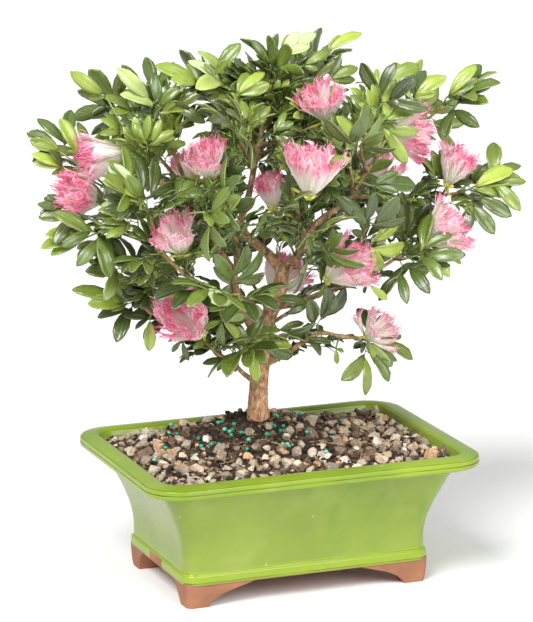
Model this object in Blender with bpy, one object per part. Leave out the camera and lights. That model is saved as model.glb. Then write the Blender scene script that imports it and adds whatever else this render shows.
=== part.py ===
# Powder puff bonsai in a glazed rectangular pot. Metres, +Z up, long side of the pot along X.
# The tree is laid out on the pot's own centre, and the last step moves the whole object so that
# the origin lies under the middle of its box, on the surface that the pot stands on.
import math
import random

import bmesh
import bpy
from mathutils import Matrix, Vector
from mathutils.bvhtree import BVHTree

MM = 0.001
SEED = 7
CLEARANCE = 0.3 * MM
WELD = 0.01 * MM

# Pot
RIM_LENGTH = 216 * MM
RIM_WIDTH = 160 * MM
FOOT_HEIGHT = 14.3 * MM
FLOOR_TOP = 20.3 * MM
CORNER_STEPS = 3
DRAIN_RADIUS = 8 * MM
DRAIN_OFFSET = 34 * MM
SCREEN_WIDTH = 26 * MM
SCREEN_THICKNESS = 1.2 * MM
SCREEN_HOLES = 2
SCREEN_BAR_SHARE = 0.32
FOOT_CHAMFER = 3 * MM
DRILL_SIDES = 12

# Wall profile, up the outside and down the inside: inset, height and corner radius in millimetres
POT_OUTSIDE = ((28.2, 14.3, 9), (27.3, 16, 9.5), (27.5, 20, 9.5), (29, 21.5, 9), (28.8, 32, 9),
               (27.4, 41, 9), (24, 51, 10), (19.4, 61, 12), (15.2, 69, 15), (12.5, 73.2, 17.5),
               (1.4, 76.2, 22.6), (0, 77.8, 22.6), (0, 81.2, 22.6), (1.4, 83.2, 22), (5, 84, 20))
POT_INSIDE = ((10.6, 84, 12), (12.4, 82.4, 11), (13.2, 79.4, 11), (18, 72.5, 10), (24.4, 60, 9),
              (30, 45, 7), (33.5, 30, 6), (35.4, 20.3, 6))

# Foot, from the ground up: inset, height, length along the pot and depth across it in millimetres
FOOT_SECTIONS = ((30, 0, 14, 13), (29.4, 2.5, 16, 14), (29, 7.5, 23, 17), (28.8, 11.5, 36, 21),
                 (28.7, 13.8, 45, 26), (28.7, 15.5, 46, 27))

# Soil and gravel
SOIL_EDGE = 78 * MM
SOIL_INSET = 14.9 * MM
SOIL_CORNER = 9.5 * MM
MOUND_RISE = 16 * MM
MOUND_REACH = 46 * MM
WALL_SLOPE = 12 * MM
SOIL_GAP = 0.42 * MM
LONG_SIDE_STEPS = 5
SHORT_SIDE_STEPS = 4
SOIL_RINGS = (0, 0.05, 0.32, 0.6, 1)
GRAVEL_ROWS = (0.05, 0.18, 0.32, 0.46, 0.6)
GRAVEL_BED = 1.6 * MM
PEBBLE_SHIFT = 1.6 * MM
PEBBLE_INSET = 1.7 * MM
PEBBLE_RISE = (1.8 * MM, 4.6 * MM)

# Trunk and twigs
TRUNK_FOOT = Vector((-5, 20, 76)) * MM
TRUNK_FOOT_RADIUS = 7.2 * MM
TRUNK_HOLE_RADIUS = 8.2 * MM
THICK_LIMB = 2.2 * MM
TWIG_RADIUS = 1.0 * MM
TWIG_TRIES = 16
CLIMB_PREFERENCE = 1.5

# The tree's points are read from the photograph: a pixel says where a point is seen, and the
# third value how far it lies behind the pot's long centre line. The eye stands here.
PHOTO_CENTRE = (266.5, 311)
FOCAL_PIXELS = 3611
EYE_TURN = math.radians(-21.6)
EYE_TILT = math.radians(13.3)
EYE_DISTANCE = 2.2
LOOK_AT = Vector((-7.4, 0, 167.2)) * MM

# Leaves. The outline gives shares of a leaflet's length and of its half width.
CROWN_CENTRE = Vector((-2, 8, 205)) * MM
CROWN_RADII = Vector((155, 115, 130)) * MM
LEAFLET_LENGTH = (19.5 * MM, 25 * MM)
LEAFLET_WIDTH = 0.42
LEAFLET_THICKNESS = 1.2 * MM
LEAFLET_ARCH = 0.09
LEAFLET_OUTLINE = ((0.46, 1), (0.96, 0.42), (0.96, -0.42), (0.46, -1))
PETIOLE_LENGTH = 6.5 * MM
PINNA_LENGTH = 5 * MM
PINNA_SPREAD = math.radians(40)
LEAFLET_SPREAD = math.radians(28)
LEAF_SPACING = 11 * MM
STALK_RADIUS = 0.7 * MM
CROTCH_DEPTH = 1.2 * MM
ROOT_DEPTH = 0.8 * MM
LEAFLET_ROLL = 14
LEAF_TRIES = 30
TIGHT_SHARE = 0.82

# How a leaf stands: shares of the twig's own direction, of chance, and of the ways that it faces
ALONG_TWIG = 0.6
CHANCE_SHARE = 0.35
LEVELLING = Vector((1, 0.3, 0.7))
RISING = 0.2
LOWEST_SPREAD = -0.1        # low leaves still stand out sideways instead of hanging
FACE_OUTWARD = 0.5
FACE_SIDEWAYS = (0.4, 0.8)
FACE_UP = (0.3, 0.9)
BACK_HALF = 33 * MM
LEAF_SWING = (50, 80)

# Blooms
FEWEST_LOCKS = 8
LENGTH_PER_LOCK = 2.7 * MM
LOCK_RADIUS = 0.95 * MM
LOCK_SPREAD = (0.85, 1.15)
LOCK_REACH = (0.94, 1.14)
WAIST_SHARE = 0.2
CORE_SHARE = 0.62
CORE_SPREAD = 0.5
CORE_RADIUS = 1.4 * MM
CORE_SIDES = 7
GOLDEN_ANGLE = math.radians(137.5)

# Limbs: pixel across, pixel down, millimetres behind the centre line, radius in millimetres
LIMBS = {
    "trunk": ((258, 400, 20, 6.4), (259, 382, 20, 5.9), (260, 366, 20, 6.0), (262, 348, 19, 5.6),
              (265, 326, 18, 5.2), (273, 306, 17, 4.9), (280, 288, 16, 4.8), (283, 270, 15, 4.4)),
    "left_stem": ((262, 350, 19, 4.0), (252, 326, 10, 3.5), (243, 309, 4, 3.1), (236, 292, 0, 2.9),
                  (233, 273, -4, 2.8), (226, 260, -6, 2.4), (216, 243, -8, 2.0), (205, 222, -12, 1.6)),
    "left_stem_fork": ((234, 276, -3, 1.8), (240, 264, -10, 1.4), (247, 252, -18, 1.1)),
    "up_left": ((283, 272, 15, 4.0), (272, 258, 20, 3.4), (258, 245, 26, 3.1), (246, 235, 30, 2.9),
                (238, 226, 32, 2.6), (222, 217, 38, 2.2), (206, 209, 42, 1.9), (190, 196, 46, 1.5),
                (172, 182, 48, 1.2)),
    "leader": ((240, 228, 32, 2.6), (243, 212, 28, 2.4), (249, 194, 24, 2.2), (254, 168, 20, 2.0),
               (258, 150, 18, 1.8), (262, 128, 16, 1.5), (266, 108, 16, 1.3), (271, 84, 16, 1.0)),
    "right": ((283, 272, 15, 4.0), (294, 260, 10, 3.2), (302, 250, 6, 2.9), (305, 238, 4, 2.6),
              (316, 224, 2, 2.4), (338, 207, 0, 2.1), (352, 194, 0, 1.8), (366, 172, 2, 1.5),
              (378, 155, 4, 1.3)),
    "right_mid": ((279, 306, 17, 2.5), (294, 304, 4, 2.1), (312, 297, -8, 1.9), (326, 291, -14, 1.6),
                  (350, 285, -14, 1.4), (378, 270, -8, 1.2), (402, 254, -4, 1.0), (420, 244, -2, 0.9)),
    "right_low": ((265, 364, 20, 2.5), (280, 357, 14, 2.1), (292, 350, 8, 1.9), (303, 342, 4, 1.7),
                  (321, 333, 0, 1.5), (340, 336, -4, 1.3), (358, 338, -6, 1.0)),
    "left_low": ((258, 384, 20, 2.0), (243, 373, 12, 1.7), (232, 362, 6, 1.5), (217, 353, 2, 1.3),
                 (206, 343, -2, 1.0)),
    "left_mid": ((244, 311, 4, 2.3), (222, 303, -14, 1.8), (204, 292, -26, 1.5), (182, 272, -34, 1.3),
                 (164, 254, -38, 1.2), (156, 235, -40, 1.0), (150, 214, -42, 0.9)),
    "left_out": ((164, 255, -38, 1.2), (140, 240, -30, 1.0), (110, 230, -20, 0.9)),
    "left_down": ((204, 292, -26, 1.3), (176, 290, -6, 1.1), (158, 296, 8, 0.9)),
    "left_inner": ((205, 223, -12, 1.3), (208, 204, -26, 1.1), (210, 190, -34, 0.9)),
    "left_top": ((206, 225, -12, 1.8), (186, 202, -10, 1.4), (162, 182, -6, 1.2), (140, 162, -2, 0.9)),
    "left_high": ((162, 183, -6, 1.2), (138, 188, 4, 1.0), (116, 194, 8, 0.9)),
    "upper_left": ((192, 198, 46, 1.6), (180, 168, 54, 1.3), (170, 142, 56, 1.1), (162, 120, 56, 0.9)),
    "top_left": ((258, 152, 18, 1.6), (242, 126, 30, 1.2), (228, 104, 42, 0.9)),
    "top_right": ((262, 130, 16, 1.4), (284, 108, 30, 1.1), (306, 92, 42, 0.9)),
    "top_front": ((259, 146, 17, 1.5), (290, 136, 0, 1.1), (312, 127, -9, 0.9)),
    "right_up": ((377, 157, 4, 1.4), (396, 142, 24, 1.1), (425, 121, 34, 0.9), (445, 105, 34, 0.9)),
    "right_out": ((351, 196, 0, 1.7), (382, 198, 16, 1.2), (412, 202, 22, 1.1), (438, 196, 22, 1.0),
                  (458, 193, 17, 0.9)),
    "right_front": ((367, 172, 2, 1.4), (361, 152, -16, 1.1), (366, 132, -26, 0.9)),
    "right_shelf": ((352, 194, 0, 1.5), (352, 180, -28, 1.1), (350, 166, -46, 0.9)),
    "front_mid": ((305, 240, 4, 2.2), (300, 222, -18, 1.6), (296, 204, -36, 1.2), (292, 188, -48, 0.9)),
    "front_low": ((298, 256, 8, 1.8), (302, 250, -16, 1.3), (308, 246, -38, 0.9)),
    "front_high": ((254, 170, 20, 1.7), (246, 152, -10, 1.3), (240, 142, -44, 1.0)),
    "front_left": ((234, 276, -3, 1.9), (238, 250, -28, 1.5), (232, 226, -54, 1.0)),
    "back_left": ((236, 226, 32, 2.2), (226, 214, 62, 1.6), (212, 190, 88, 1.1)),
    "back_left_high": ((190, 196, 46, 1.3), (170, 170, 62, 1.1), (158, 156, 70, 0.9)),
    "back_right": ((306, 238, 4, 2.4), (322, 232, 34, 1.8), (340, 214, 66, 1.3), (352, 190, 86, 1.0)),
    "back_far_right": ((340, 214, 66, 1.2), (358, 218, 80, 0.9)),
    "back_middle": ((322, 232, 34, 1.6), (304, 222, 66, 1.2), (288, 206, 88, 0.9)),
    "back_high": ((256, 160, 20, 1.8), (270, 150, 50, 1.3), (284, 128, 74, 0.9)),
    "back_low": ((264, 338, 18, 2.8), (270, 324, 46, 1.9), (262, 300, 76, 1.3), (250, 280, 94, 1.0)),
    "back_low_left": ((263, 303, 72, 1.3), (232, 296, 82, 1.1), (206, 286, 84, 0.9)),
    "back_low_right": ((270, 324, 46, 1.6), (300, 306, 58, 1.2), (332, 288, 62, 0.9)),
}

# Blooms: pixel of the green base, pixel of the middle of the pink ends, millimetres behind at each,
# and the half angle in degrees that the stamens fan out by
BLOOMS = {
    "far_left_high": ((128, 151, 2), (76, 162, 4), 27),
    "far_left_low": ((106, 199, 6), (62, 194, -6), 24),
    "left_centre": ((210, 178, -40), (207, 144, -54), 34),
    "left_inner": ((182, 253, -44), (170, 218, -52), 36),
    "lower_left": ((203, 335, -14), (176, 306, -32), 32),
    "top_centre": ((327, 121, -14), (321, 88, -24), 36),
    "front_centre": ((309, 198, -64), (314, 146, -72), 32),
    "right_high": ((387, 135, 2), (434, 134, -14), 46),
    "far_right_high": ((447, 186, 16), (466, 148, 10), 32),
    "far_right_low": ((424, 240, -8), (464, 218, -22), 44),
    "right_middle": ((326, 280, -24), (368, 254, -44), 32),
    "lower_right": ((366, 337, -10), (386, 318, -24), 46),
    "behind_leader": ((273, 209, -10), (266, 174, -14), 26),
    "back_left": ((196, 180, 90), (178, 154, 104), 34),
    "back_right": ((366, 186, 88), (384, 152, 102), 34),
    "back_low": ((272, 292, 86), (292, 262, 104), 34),
}

# Leafy shoots: pixel and millimetres behind of the tip of the twig, and how many leaves it has
SHOOTS = {
    "far_left": ((74, 157, 22), 2),
    "left_edge": ((92, 216, 0), 3),
    "left_down": ((128, 270, -10), 2),
    "left_low": ((146, 304, 16), 2),
    "lower_left": ((185, 318, 12), 2),
    "top_left_inner": ((236, 92, 22), 2),
    "top": ((272, 80, 14), 2),
    "right_spire": ((450, 101, 24), 2),
    "far_right": ((478, 184, 12), 2),
    "right_upright": ((404, 230, 12), 2),
    "right_arm": ((408, 258, -22), 2),
    "lower_right": ((366, 344, 8), 2),
    "lower_right_inner": ((318, 332, -16), 1),
    "low_front": ((262, 340, -26), 3),
    "stem_front": ((240, 294, -44), 2),
    "left_front": ((216, 288, -62), 2),
    "fork_front": ((314, 238, -54), 3),
    "middle_front": ((268, 222, -76), 3),
    "middle_left": ((222, 210, -78), 2),
    "left_bright": ((138, 198, -46), 2),
    "high_front": ((246, 138, -66), 2),
    "high_right_front": ((350, 152, -64), 2),
    "right_inner": ((362, 236, -36), 2),
    "right_tall": ((376, 112, -28), 2),
    "upper_left": ((122, 114, 44), 3),
    "upper_left_tall": ((158, 106, 62), 2),
    "top_left": ((206, 100, 52), 2),
    "top_right": ((314, 80, 50), 2),
    "right_high": ((408, 110, 52), 3),
    "back_left_high": ((150, 146, 76), 2),
    "back_left": ((190, 216, 92), 2),
    "back_middle": ((268, 190, 104), 2),
    "back_right": ((376, 224, 90), 2),
    "back_high": ((246, 114, 84), 2),
    "back_high_right": ((326, 148, 92), 3),
    "back_low": ((240, 268, 102), 2),
    "back_low_left": ((192, 280, 82), 2),
    "back_low_right": ((352, 272, 66), 2),
}

COLOURS = {
    "glazed_pot": ((0.42, 0.58, 0.10), 0.2),
    "soil": ((0.06, 0.04, 0.03), 0.95),
    "gravel": ((0.46, 0.40, 0.32), 0.85),
    "mesh_screen": ((0.03, 0.03, 0.03), 0.6),
    "bark": ((0.36, 0.22, 0.13), 0.85),
    "bloom": ((0.85, 0.35, 0.48), 0.7),
    "leaf": ((0.08, 0.20, 0.03), 0.4),
}


def clear_scene():
    for obj in list(bpy.data.objects):
        bpy.data.objects.remove(obj)


def material(name):
    found = bpy.data.materials.get(name)
    if found:
        return found
    colour, roughness = COLOURS[name]
    made = bpy.data.materials.new(name)
    made.use_nodes = True
    shader = made.node_tree.nodes["Principled BSDF"]
    shader.inputs["Base Color"].default_value = (*colour, 1)
    shader.inputs["Roughness"].default_value = roughness
    return made


def part_collection():
    found = bpy.data.collections.get("powder_puff_bonsai")
    if not found:
        found = bpy.data.collections.new("powder_puff_bonsai")
        bpy.context.scene.collection.children.link(found)
    return found


def object_from(bm, name, material_name):
    """Writes the bmesh to a new object of the part and frees it."""
    mesh = bpy.data.meshes.new(name)
    bm.to_mesh(mesh)
    bm.free()
    mesh.materials.append(material(material_name))
    made = bpy.data.objects.new(name, mesh)
    part_collection().objects.link(made)
    return made


def apply_boolean(body, operation, others, solver="MANIFOLD"):
    """Joins the others to the body, or cuts them out of it, and removes them."""
    cutters = bpy.data.collections.new("cutters")
    bpy.context.scene.collection.children.link(cutters)
    for other in others:
        part_collection().objects.unlink(other)
        cutters.objects.link(other)
    modifier = body.modifiers.new(operation.lower(), "BOOLEAN")
    modifier.operation = operation
    modifier.operand_type = "COLLECTION"
    modifier.collection = cutters
    modifier.solver = solver
    bpy.context.view_layer.update()
    graph = bpy.context.evaluated_depsgraph_get()
    result = bpy.data.meshes.new_from_object(body.evaluated_get(graph))
    body.modifiers.clear()
    body.data = result
    for other in others:
        bpy.data.objects.remove(other)
    bpy.data.collections.remove(cutters)
    return body


def seen(across, down, behind):
    """The point seen at a pixel, that many millimetres behind the pot's long centre line."""
    right = Vector((math.cos(EYE_TURN), math.sin(EYE_TURN), 0))
    back = Vector((math.sin(EYE_TURN) * math.cos(EYE_TILT), -math.cos(EYE_TURN) * math.cos(EYE_TILT),
                   math.sin(EYE_TILT)))
    up = back.cross(right)
    eye = LOOK_AT + back * EYE_DISTANCE
    ray = right * (across - PHOTO_CENTRE[0]) + up * (PHOTO_CENTRE[1] - down) - back * FOCAL_PIXELS
    return eye + ray * ((behind * MM - eye.y) / ray.y)


def rounded_ring(inset, height, radius, side_steps=(1, 1)):
    """A rounded rectangle inset from the rim's edge, its long and short sides cut into steps."""
    half_x = RIM_LENGTH / 2 - inset
    half_y = RIM_WIDTH / 2 - inset
    points = []
    for turn, (side_x, side_y) in enumerate(((1, 1), (-1, 1), (-1, -1), (1, -1))):
        for step in range(CORNER_STEPS + 1):
            angle = math.radians(90 * (turn + step / CORNER_STEPS))
            points.append(Vector((side_x * (half_x - radius) + radius * math.cos(angle),
                                  side_y * (half_y - radius) + radius * math.sin(angle), height)))
        next_x, next_y = ((-1, 1), (-1, -1), (1, -1), (1, 1))[turn]
        angle = math.radians(90 * (turn + 1))
        end = Vector((next_x * (half_x - radius) + radius * math.cos(angle),
                      next_y * (half_y - radius) + radius * math.sin(angle), height))
        steps = side_steps[turn % 2]
        points += [points[-1].lerp(end, step / steps) for step in range(1, steps)]
    return points


def loft(rings, closed_ends=True, four_sided=()):
    """Skins equal rings of points one to the next, in triangles but for the four-sided rows."""
    bm = bmesh.new()
    rows = [[bm.verts.new(point) for point in ring] for ring in rings]
    for row, (low, high) in enumerate(zip(rows, rows[1:])):
        for i in range(len(low)):
            j = (i + 1) % len(low)
            if row in four_sided:
                bm.faces.new((low[i], low[j], high[j], high[i]))
            else:
                bm.faces.new((low[i], low[j], high[j]))
                bm.faces.new((low[i], high[j], high[i]))
    if closed_ends:
        bm.faces.new(rows[0])
        bm.faces.new(rows[-1])
    bmesh.ops.recalc_face_normals(bm, faces=bm.faces)
    return bm


def profile_rings(profile, extra_inset=0.0, side_steps=(1, 1)):
    """Rings of a wall profile, with a shift inwards."""
    return [rounded_ring(inset * MM + extra_inset, height * MM, radius * MM - extra_inset, side_steps)
            for inset, height, radius in profile]


def pot_foot(side_x, side_y):
    """One corner foot: a block whose two ends sweep up to the pot's underside."""
    rings = []
    for inset, height, along, across in FOOT_SECTIONS:
        corner_x = RIM_LENGTH / 2 - inset * MM
        corner_y = RIM_WIDTH / 2 - inset * MM
        outline = ((FOOT_CHAMFER, 0), (along * MM, 0), (along * MM, across * MM), (0, across * MM),
                   (0, FOOT_CHAMFER))
        rings.append([Vector((side_x * (corner_x - x), side_y * (corner_y - y), height * MM))
                      for x, y in outline])
    return object_from(loft(rings), "foot", "glazed_pot")


def build_pot():
    """One fired piece: tapered wall with a flanged rim, floor with two drain holes, four feet."""
    pot = object_from(loft(profile_rings(POT_OUTSIDE + POT_INSIDE)), "pot", "glazed_pot")
    feet = [pot_foot(x, y) for x in (-1, 1) for y in (-1, 1)]
    apply_boolean(pot, "UNION", feet, "EXACT")
    drills = []
    for side in (-1, 1):
        bm = bmesh.new()
        bmesh.ops.create_cone(bm, cap_ends=True, segments=DRILL_SIDES, radius1=DRAIN_RADIUS,
                              radius2=DRAIN_RADIUS, depth=FLOOR_TOP)
        drill = object_from(bm, "drill", "glazed_pot")
        drill.location = (side * DRAIN_OFFSET, 0, (FOOT_HEIGHT + FLOOR_TOP) / 2)
        drills.append(drill)
    return apply_boolean(pot, "DIFFERENCE", drills, "EXACT")


def box(size, centre, name, material_name):
    bm = bmesh.new()
    bmesh.ops.create_cube(bm, size=1, matrix=Matrix.Translation(centre) @ Matrix.Diagonal((*size, 1)))
    return object_from(bm, name, material_name)


def build_screen(side):
    """Plastic mesh plate that keeps the soil in over a drain hole."""
    name = "drain_screen_" + ("left" if side < 0 else "right")
    centre = Vector((side * DRAIN_OFFSET, 0, FLOOR_TOP + CLEARANCE + SCREEN_THICKNESS / 2))
    screen = box((SCREEN_WIDTH, SCREEN_WIDTH, SCREEN_THICKNESS), centre, name, "mesh_screen")
    pitch = SCREEN_WIDTH / (SCREEN_HOLES + SCREEN_BAR_SHARE)
    hole = pitch * (1 - SCREEN_BAR_SHARE)
    places = [(i - (SCREEN_HOLES - 1) / 2) * pitch for i in range(SCREEN_HOLES)]
    cutters = [box((hole, hole, 3 * SCREEN_THICKNESS), centre + Vector((x, y, 0)), "cutter", "mesh_screen")
               for x in places for y in places]
    return apply_boolean(screen, "DIFFERENCE", cutters, "EXACT")


def soil_height(point):
    """The mound round the trunk, eased down to the level at the pot's wall."""
    wall = min(RIM_LENGTH / 2 - SOIL_INSET - abs(point.x), RIM_WIDTH / 2 - SOIL_INSET - abs(point.y))
    ease = max(0.0, min(1.0, wall / WALL_SLOPE))
    away = (point.xy - TRUNK_FOOT.xy).length / MOUND_REACH
    return SOIL_EDGE + MOUND_RISE * math.exp(-away * away) * ease * ease * (3 - 2 * ease)


def soil_ring(share, lift=0.0):
    """A ring on the soil's surface, from the wall at share 0 to the trunk's hole at share 1."""
    points = []
    for point in rounded_ring(SOIL_INSET, SOIL_EDGE, SOIL_CORNER, (LONG_SIDE_STEPS, SHORT_SIDE_STEPS)):
        outward = (point.xy - TRUNK_FOOT.xy).normalized()
        place = point.xy.lerp(TRUNK_FOOT.xy + outward * TRUNK_HOLE_RADIUS, share).to_3d()
        place.z = soil_height(place) + lift
        points.append(place)
    return points


def build_soil():
    """Potting mix that fills the pot, mounded round the trunk, with a plain hole for its foot."""
    inside = [ring for ring in reversed(POT_INSIDE) if ring[1] * MM < SOIL_EDGE]
    walls = profile_rings(inside, SOIL_GAP, (LONG_SIDE_STEPS, SHORT_SIDE_STEPS))
    for point in walls[0]:
        point.z = FLOOR_TOP + CLEARANCE * 2 + SCREEN_THICKNESS
    top = [soil_ring(share) for share in SOIL_RINGS]
    hole_floor = [Vector((point.x, point.y, TRUNK_FOOT.z - CLEARANCE)) for point in top[-1]]
    return object_from(loft(walls + top + [hole_floor]), "soil", "soil")


def build_gravel():
    """Gravel dressing round the pot: a thin bed on the soil, its top raised into pebbles."""
    rng = random.Random(SEED)
    under = [soil_ring(share, CLEARANCE) for share in SOIL_RINGS[1:-1]]
    over = [soil_ring(share, CLEARANCE + GRAVEL_BED) for share in reversed(GRAVEL_ROWS)]
    for ring in over[1:-1]:
        for point in ring:
            point.x += rng.uniform(-1, 1) * PEBBLE_SHIFT
            point.y += rng.uniform(-1, 1) * PEBBLE_SHIFT
            point.z = soil_height(point) + CLEARANCE + GRAVEL_BED
    pebble_rows = range(len(under), len(under) + len(over) - 1)
    bm = loft(under + over + under[:1], closed_ends=False, four_sided=pebble_rows)
    bmesh.ops.remove_doubles(bm, verts=bm.verts, dist=WELD)
    bmesh.ops.recalc_face_normals(bm, faces=bm.faces)
    for face in [face for face in bm.faces if len(face.verts) == 4]:
        rise = rng.uniform(*PEBBLE_RISE)
        bmesh.ops.inset_individual(bm, faces=[face], thickness=PEBBLE_INSET, depth=rise)
    return object_from(bm, "gravel", "gravel")


def tube(name, points, radii, resolution, material_name):
    """A tapered tube through the points, as a mesh with welded caps."""
    curve = bpy.data.curves.new(name, "CURVE")
    curve.dimensions = "3D"
    curve.bevel_depth = 1
    curve.bevel_resolution = resolution
    curve.use_fill_caps = True
    spline = curve.splines.new("POLY")
    spline.points.add(len(points) - 1)
    for target, point, radius in zip(spline.points, points, radii):
        target.co = (*point, 1)
        target.radius = radius
    guide = bpy.data.objects.new(name, curve)
    part_collection().objects.link(guide)
    bpy.context.view_layer.update()
    graph = bpy.context.evaluated_depsgraph_get()
    bm = bmesh.new()
    bm.from_mesh(bpy.data.meshes.new_from_object(guide.evaluated_get(graph)))
    bpy.data.objects.remove(guide)
    bmesh.ops.remove_doubles(bm, verts=bm.verts, dist=WELD)
    return object_from(bm, name, material_name)


def limb_line(name):
    """The limb's centre line and its radius at each point."""
    return [seen(*point[:3]) for point in LIMBS[name]], [point[3] * MM for point in LIMBS[name]]


def build_tree():
    """Trunk and woody branches as one piece."""
    pieces = []
    for name in LIMBS:
        points, radii = limb_line(name)
        resolution = 1 if radii[0] > THICK_LIMB else 0
        if name == "trunk":
            points = [TRUNK_FOOT, Vector((TRUNK_FOOT.x, TRUNK_FOOT.y, SOIL_EDGE + MOUND_RISE))] + points
            radii = [TRUNK_FOOT_RADIUS, TRUNK_FOOT_RADIUS] + radii
            resolution = 2
        pieces.append(tube(name, points, radii, resolution, "bark"))
    tree = apply_boolean(pieces[0], "UNION", pieces[1:])
    tree.name = "trunk_and_branches"
    return tree


def twig_starts(tip):
    """Points just off the wood from which a twig could reach the tip, the best one first."""
    found = []
    for name in LIMBS:
        points, radii = limb_line(name)
        for i in range(len(points) - 1):
            along = points[i + 1] - points[i]
            share = max(0.0, min(1.0, (tip - points[i]).dot(along) / along.length_squared))
            at = points[i] + along * share
            far = (tip - at).length + CLIMB_PREFERENCE * max(0.0, at.z - tip.z)
            out = (tip - at).normalized()
            reach = radii[i] + (radii[i + 1] - radii[i]) * share + 1.5 * CLEARANCE
            slant = out.dot(along.normalized())
            if share == 1 and i == len(points) - 2:
                overhang = TWIG_RADIUS * math.sqrt(max(0.0, 1 - slant * slant))
                reach = min(reach, (1.2 * CLEARANCE + overhang) / max(slant, 0.01))
            found.append((far, at + out * reach))
    return [start for _, start in sorted(found, key=lambda entry: entry[0])[:TWIG_TRIES]]


def search_tree(obj):
    """A tree of the object's triangles for overlap tests."""
    bm = bmesh.new()
    bm.from_mesh(obj.data)
    bmesh.ops.triangulate(bm, faces=bm.faces)
    found = BVHTree.FromBMesh(bm)
    bm.free()
    return found


def touches(obj, others):
    own = search_tree(obj)
    return any(own.overlap(other) for other in others)


def stalk(start, end, radius, sides, end_radius, name, material_name):
    """A straight stalk between two points."""
    bm = bmesh.new()
    along = end - start
    place = Matrix.Translation((start + end) / 2) @ along.to_track_quat("Z", "Y").to_matrix().to_4x4()
    bmesh.ops.create_cone(bm, cap_ends=True, segments=sides, radius1=radius, radius2=end_radius,
                          depth=along.length, matrix=place)
    return object_from(bm, name, material_name)


def free_twig(tip, end_radius, others, name, material_name):
    """The first twig to the tip that is clear of the others, and where it starts."""
    for start in twig_starts(tip):
        twig = stalk(start, tip, TWIG_RADIUS, 4, end_radius, name, material_name)
        if not touches(twig, others):
            return twig, start
        bpy.data.objects.remove(twig)
    raise RuntimeError("no free way to the wood: " + name)


def build_bloom(name, base, ends, spread, others, rng):
    """A drooped puff: a slim core on a green stalk, with locks of stamens standing out of it."""
    axis = (ends - base).normalized()
    length = (ends - base).length
    shoulder = length * CORE_SHARE
    core = stalk(base - axis * TWIG_RADIUS, base + axis * shoulder, CORE_RADIUS, CORE_SIDES,
                 shoulder * math.tan(CORE_SPREAD * spread), name, "bloom")
    pieces = [free_twig(base, TWIG_RADIUS, others, "stalk", "bloom")[0]]
    waist = base + axis * length * WAIST_SHARE
    side = axis.orthogonal().normalized()
    locks = max(FEWEST_LOCKS, round(length / LENGTH_PER_LOCK))
    for i in range(locks):
        ring = math.sqrt((i + 0.5) / locks)
        around = Matrix.Rotation(i * GOLDEN_ANGLE, 3, axis) @ side
        lean = Matrix.Rotation(spread * ring * rng.uniform(*LOCK_SPREAD), 3, axis.cross(around))
        end = base + lean @ axis * length * rng.uniform(*LOCK_REACH)
        pieces.append(stalk(waist, end, 1.2 * LOCK_RADIUS, 3, LOCK_RADIUS, "lock", "bloom"))
    return apply_boolean(core, "UNION", pieces)


def rib_ring(bm, point, along, facing, radius):
    """Four points round a stalk: above, below, left and right of it."""
    side = facing.cross(along).normalized() * radius
    lift = facing * radius
    return [bm.verts.new(place) for place in (point + lift, point - lift, point + side, point - side)]


def leaflet(bm, collar, root, heading, facing, length):
    """A thin arched blade, widest past its middle, from a collar (above, below, left, right)."""
    side = facing.cross(heading).normalized()
    half = length * LEAFLET_WIDTH / 2

    def at(along, across, lift=0.0):
        return root + heading * along * length + side * across * half + facing * lift

    above, below, left, right = collar
    arch = LEAFLET_ARCH * length
    rim = [left] + [bm.verts.new(at(along, across)) for along, across in LEAFLET_OUTLINE] + [right]
    for collar_end, lift in ((above, arch + LEAFLET_THICKNESS / 2), (below, arch - LEAFLET_THICKNESS / 2)):
        middle = bm.verts.new(at(0.5, 0, lift))
        loop = [collar_end] + rim + [collar_end]
        for a, b in zip(loop, loop[1:]):
            bm.faces.new((middle, a, b))


def build_leaf(place, heading, facing, lengths, rolls):
    """One leaf: a stalk that forks into two, each with a pair of leaflets at its end."""
    bm = bmesh.new()
    fork = place + heading * PETIOLE_LENGTH
    foot = rib_ring(bm, place - heading * ROOT_DEPTH, heading, facing, STALK_RADIUS)
    top, bottom, left, right = rib_ring(bm, fork, heading, facing, STALK_RADIUS)
    crotch = bm.verts.new(fork + heading * CROTCH_DEPTH)
    bm.faces.new((foot[0], foot[2], foot[1], foot[3]))
    for above, low_above in ((top, foot[0]), (bottom, foot[1])):
        bm.faces.new((low_above, foot[2], left, above))
        bm.faces.new((low_above, above, right, foot[3]))
    for number, turn in enumerate((1, -1)):
        pinna = Matrix.Rotation(turn * PINNA_SPREAD, 3, facing) @ heading
        end = fork + pinna * PINNA_LENGTH
        end_top, end_bottom, end_left, end_right = rib_ring(bm, end, pinna, facing, STALK_RADIUS)
        outer_start, inner_start = (left, crotch) if turn > 0 else (right, crotch)
        outer, inner = (end_left, end_right) if turn > 0 else (end_right, end_left)
        notch = bm.verts.new(end + pinna * CROTCH_DEPTH)
        for low, high in ((top, end_top), (bottom, end_bottom)):
            bm.faces.new((low, outer_start, outer, high))
            bm.faces.new((low, high, inner, inner_start))
        for m, way in enumerate((1, -1)):
            blade = Matrix.Rotation(way * LEAFLET_SPREAD, 3, facing) @ pinna
            tilt = Matrix.Rotation(rolls[2 * number + m], 3, blade) @ facing
            sides = (end_left, notch) if way > 0 else (notch, end_right)
            leaflet(bm, (end_top, end_bottom, *sides), end, blade, tilt, lengths[2 * number + m])
    bmesh.ops.recalc_face_normals(bm, faces=bm.faces)
    return object_from(bm, "leaf", "leaf")


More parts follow.
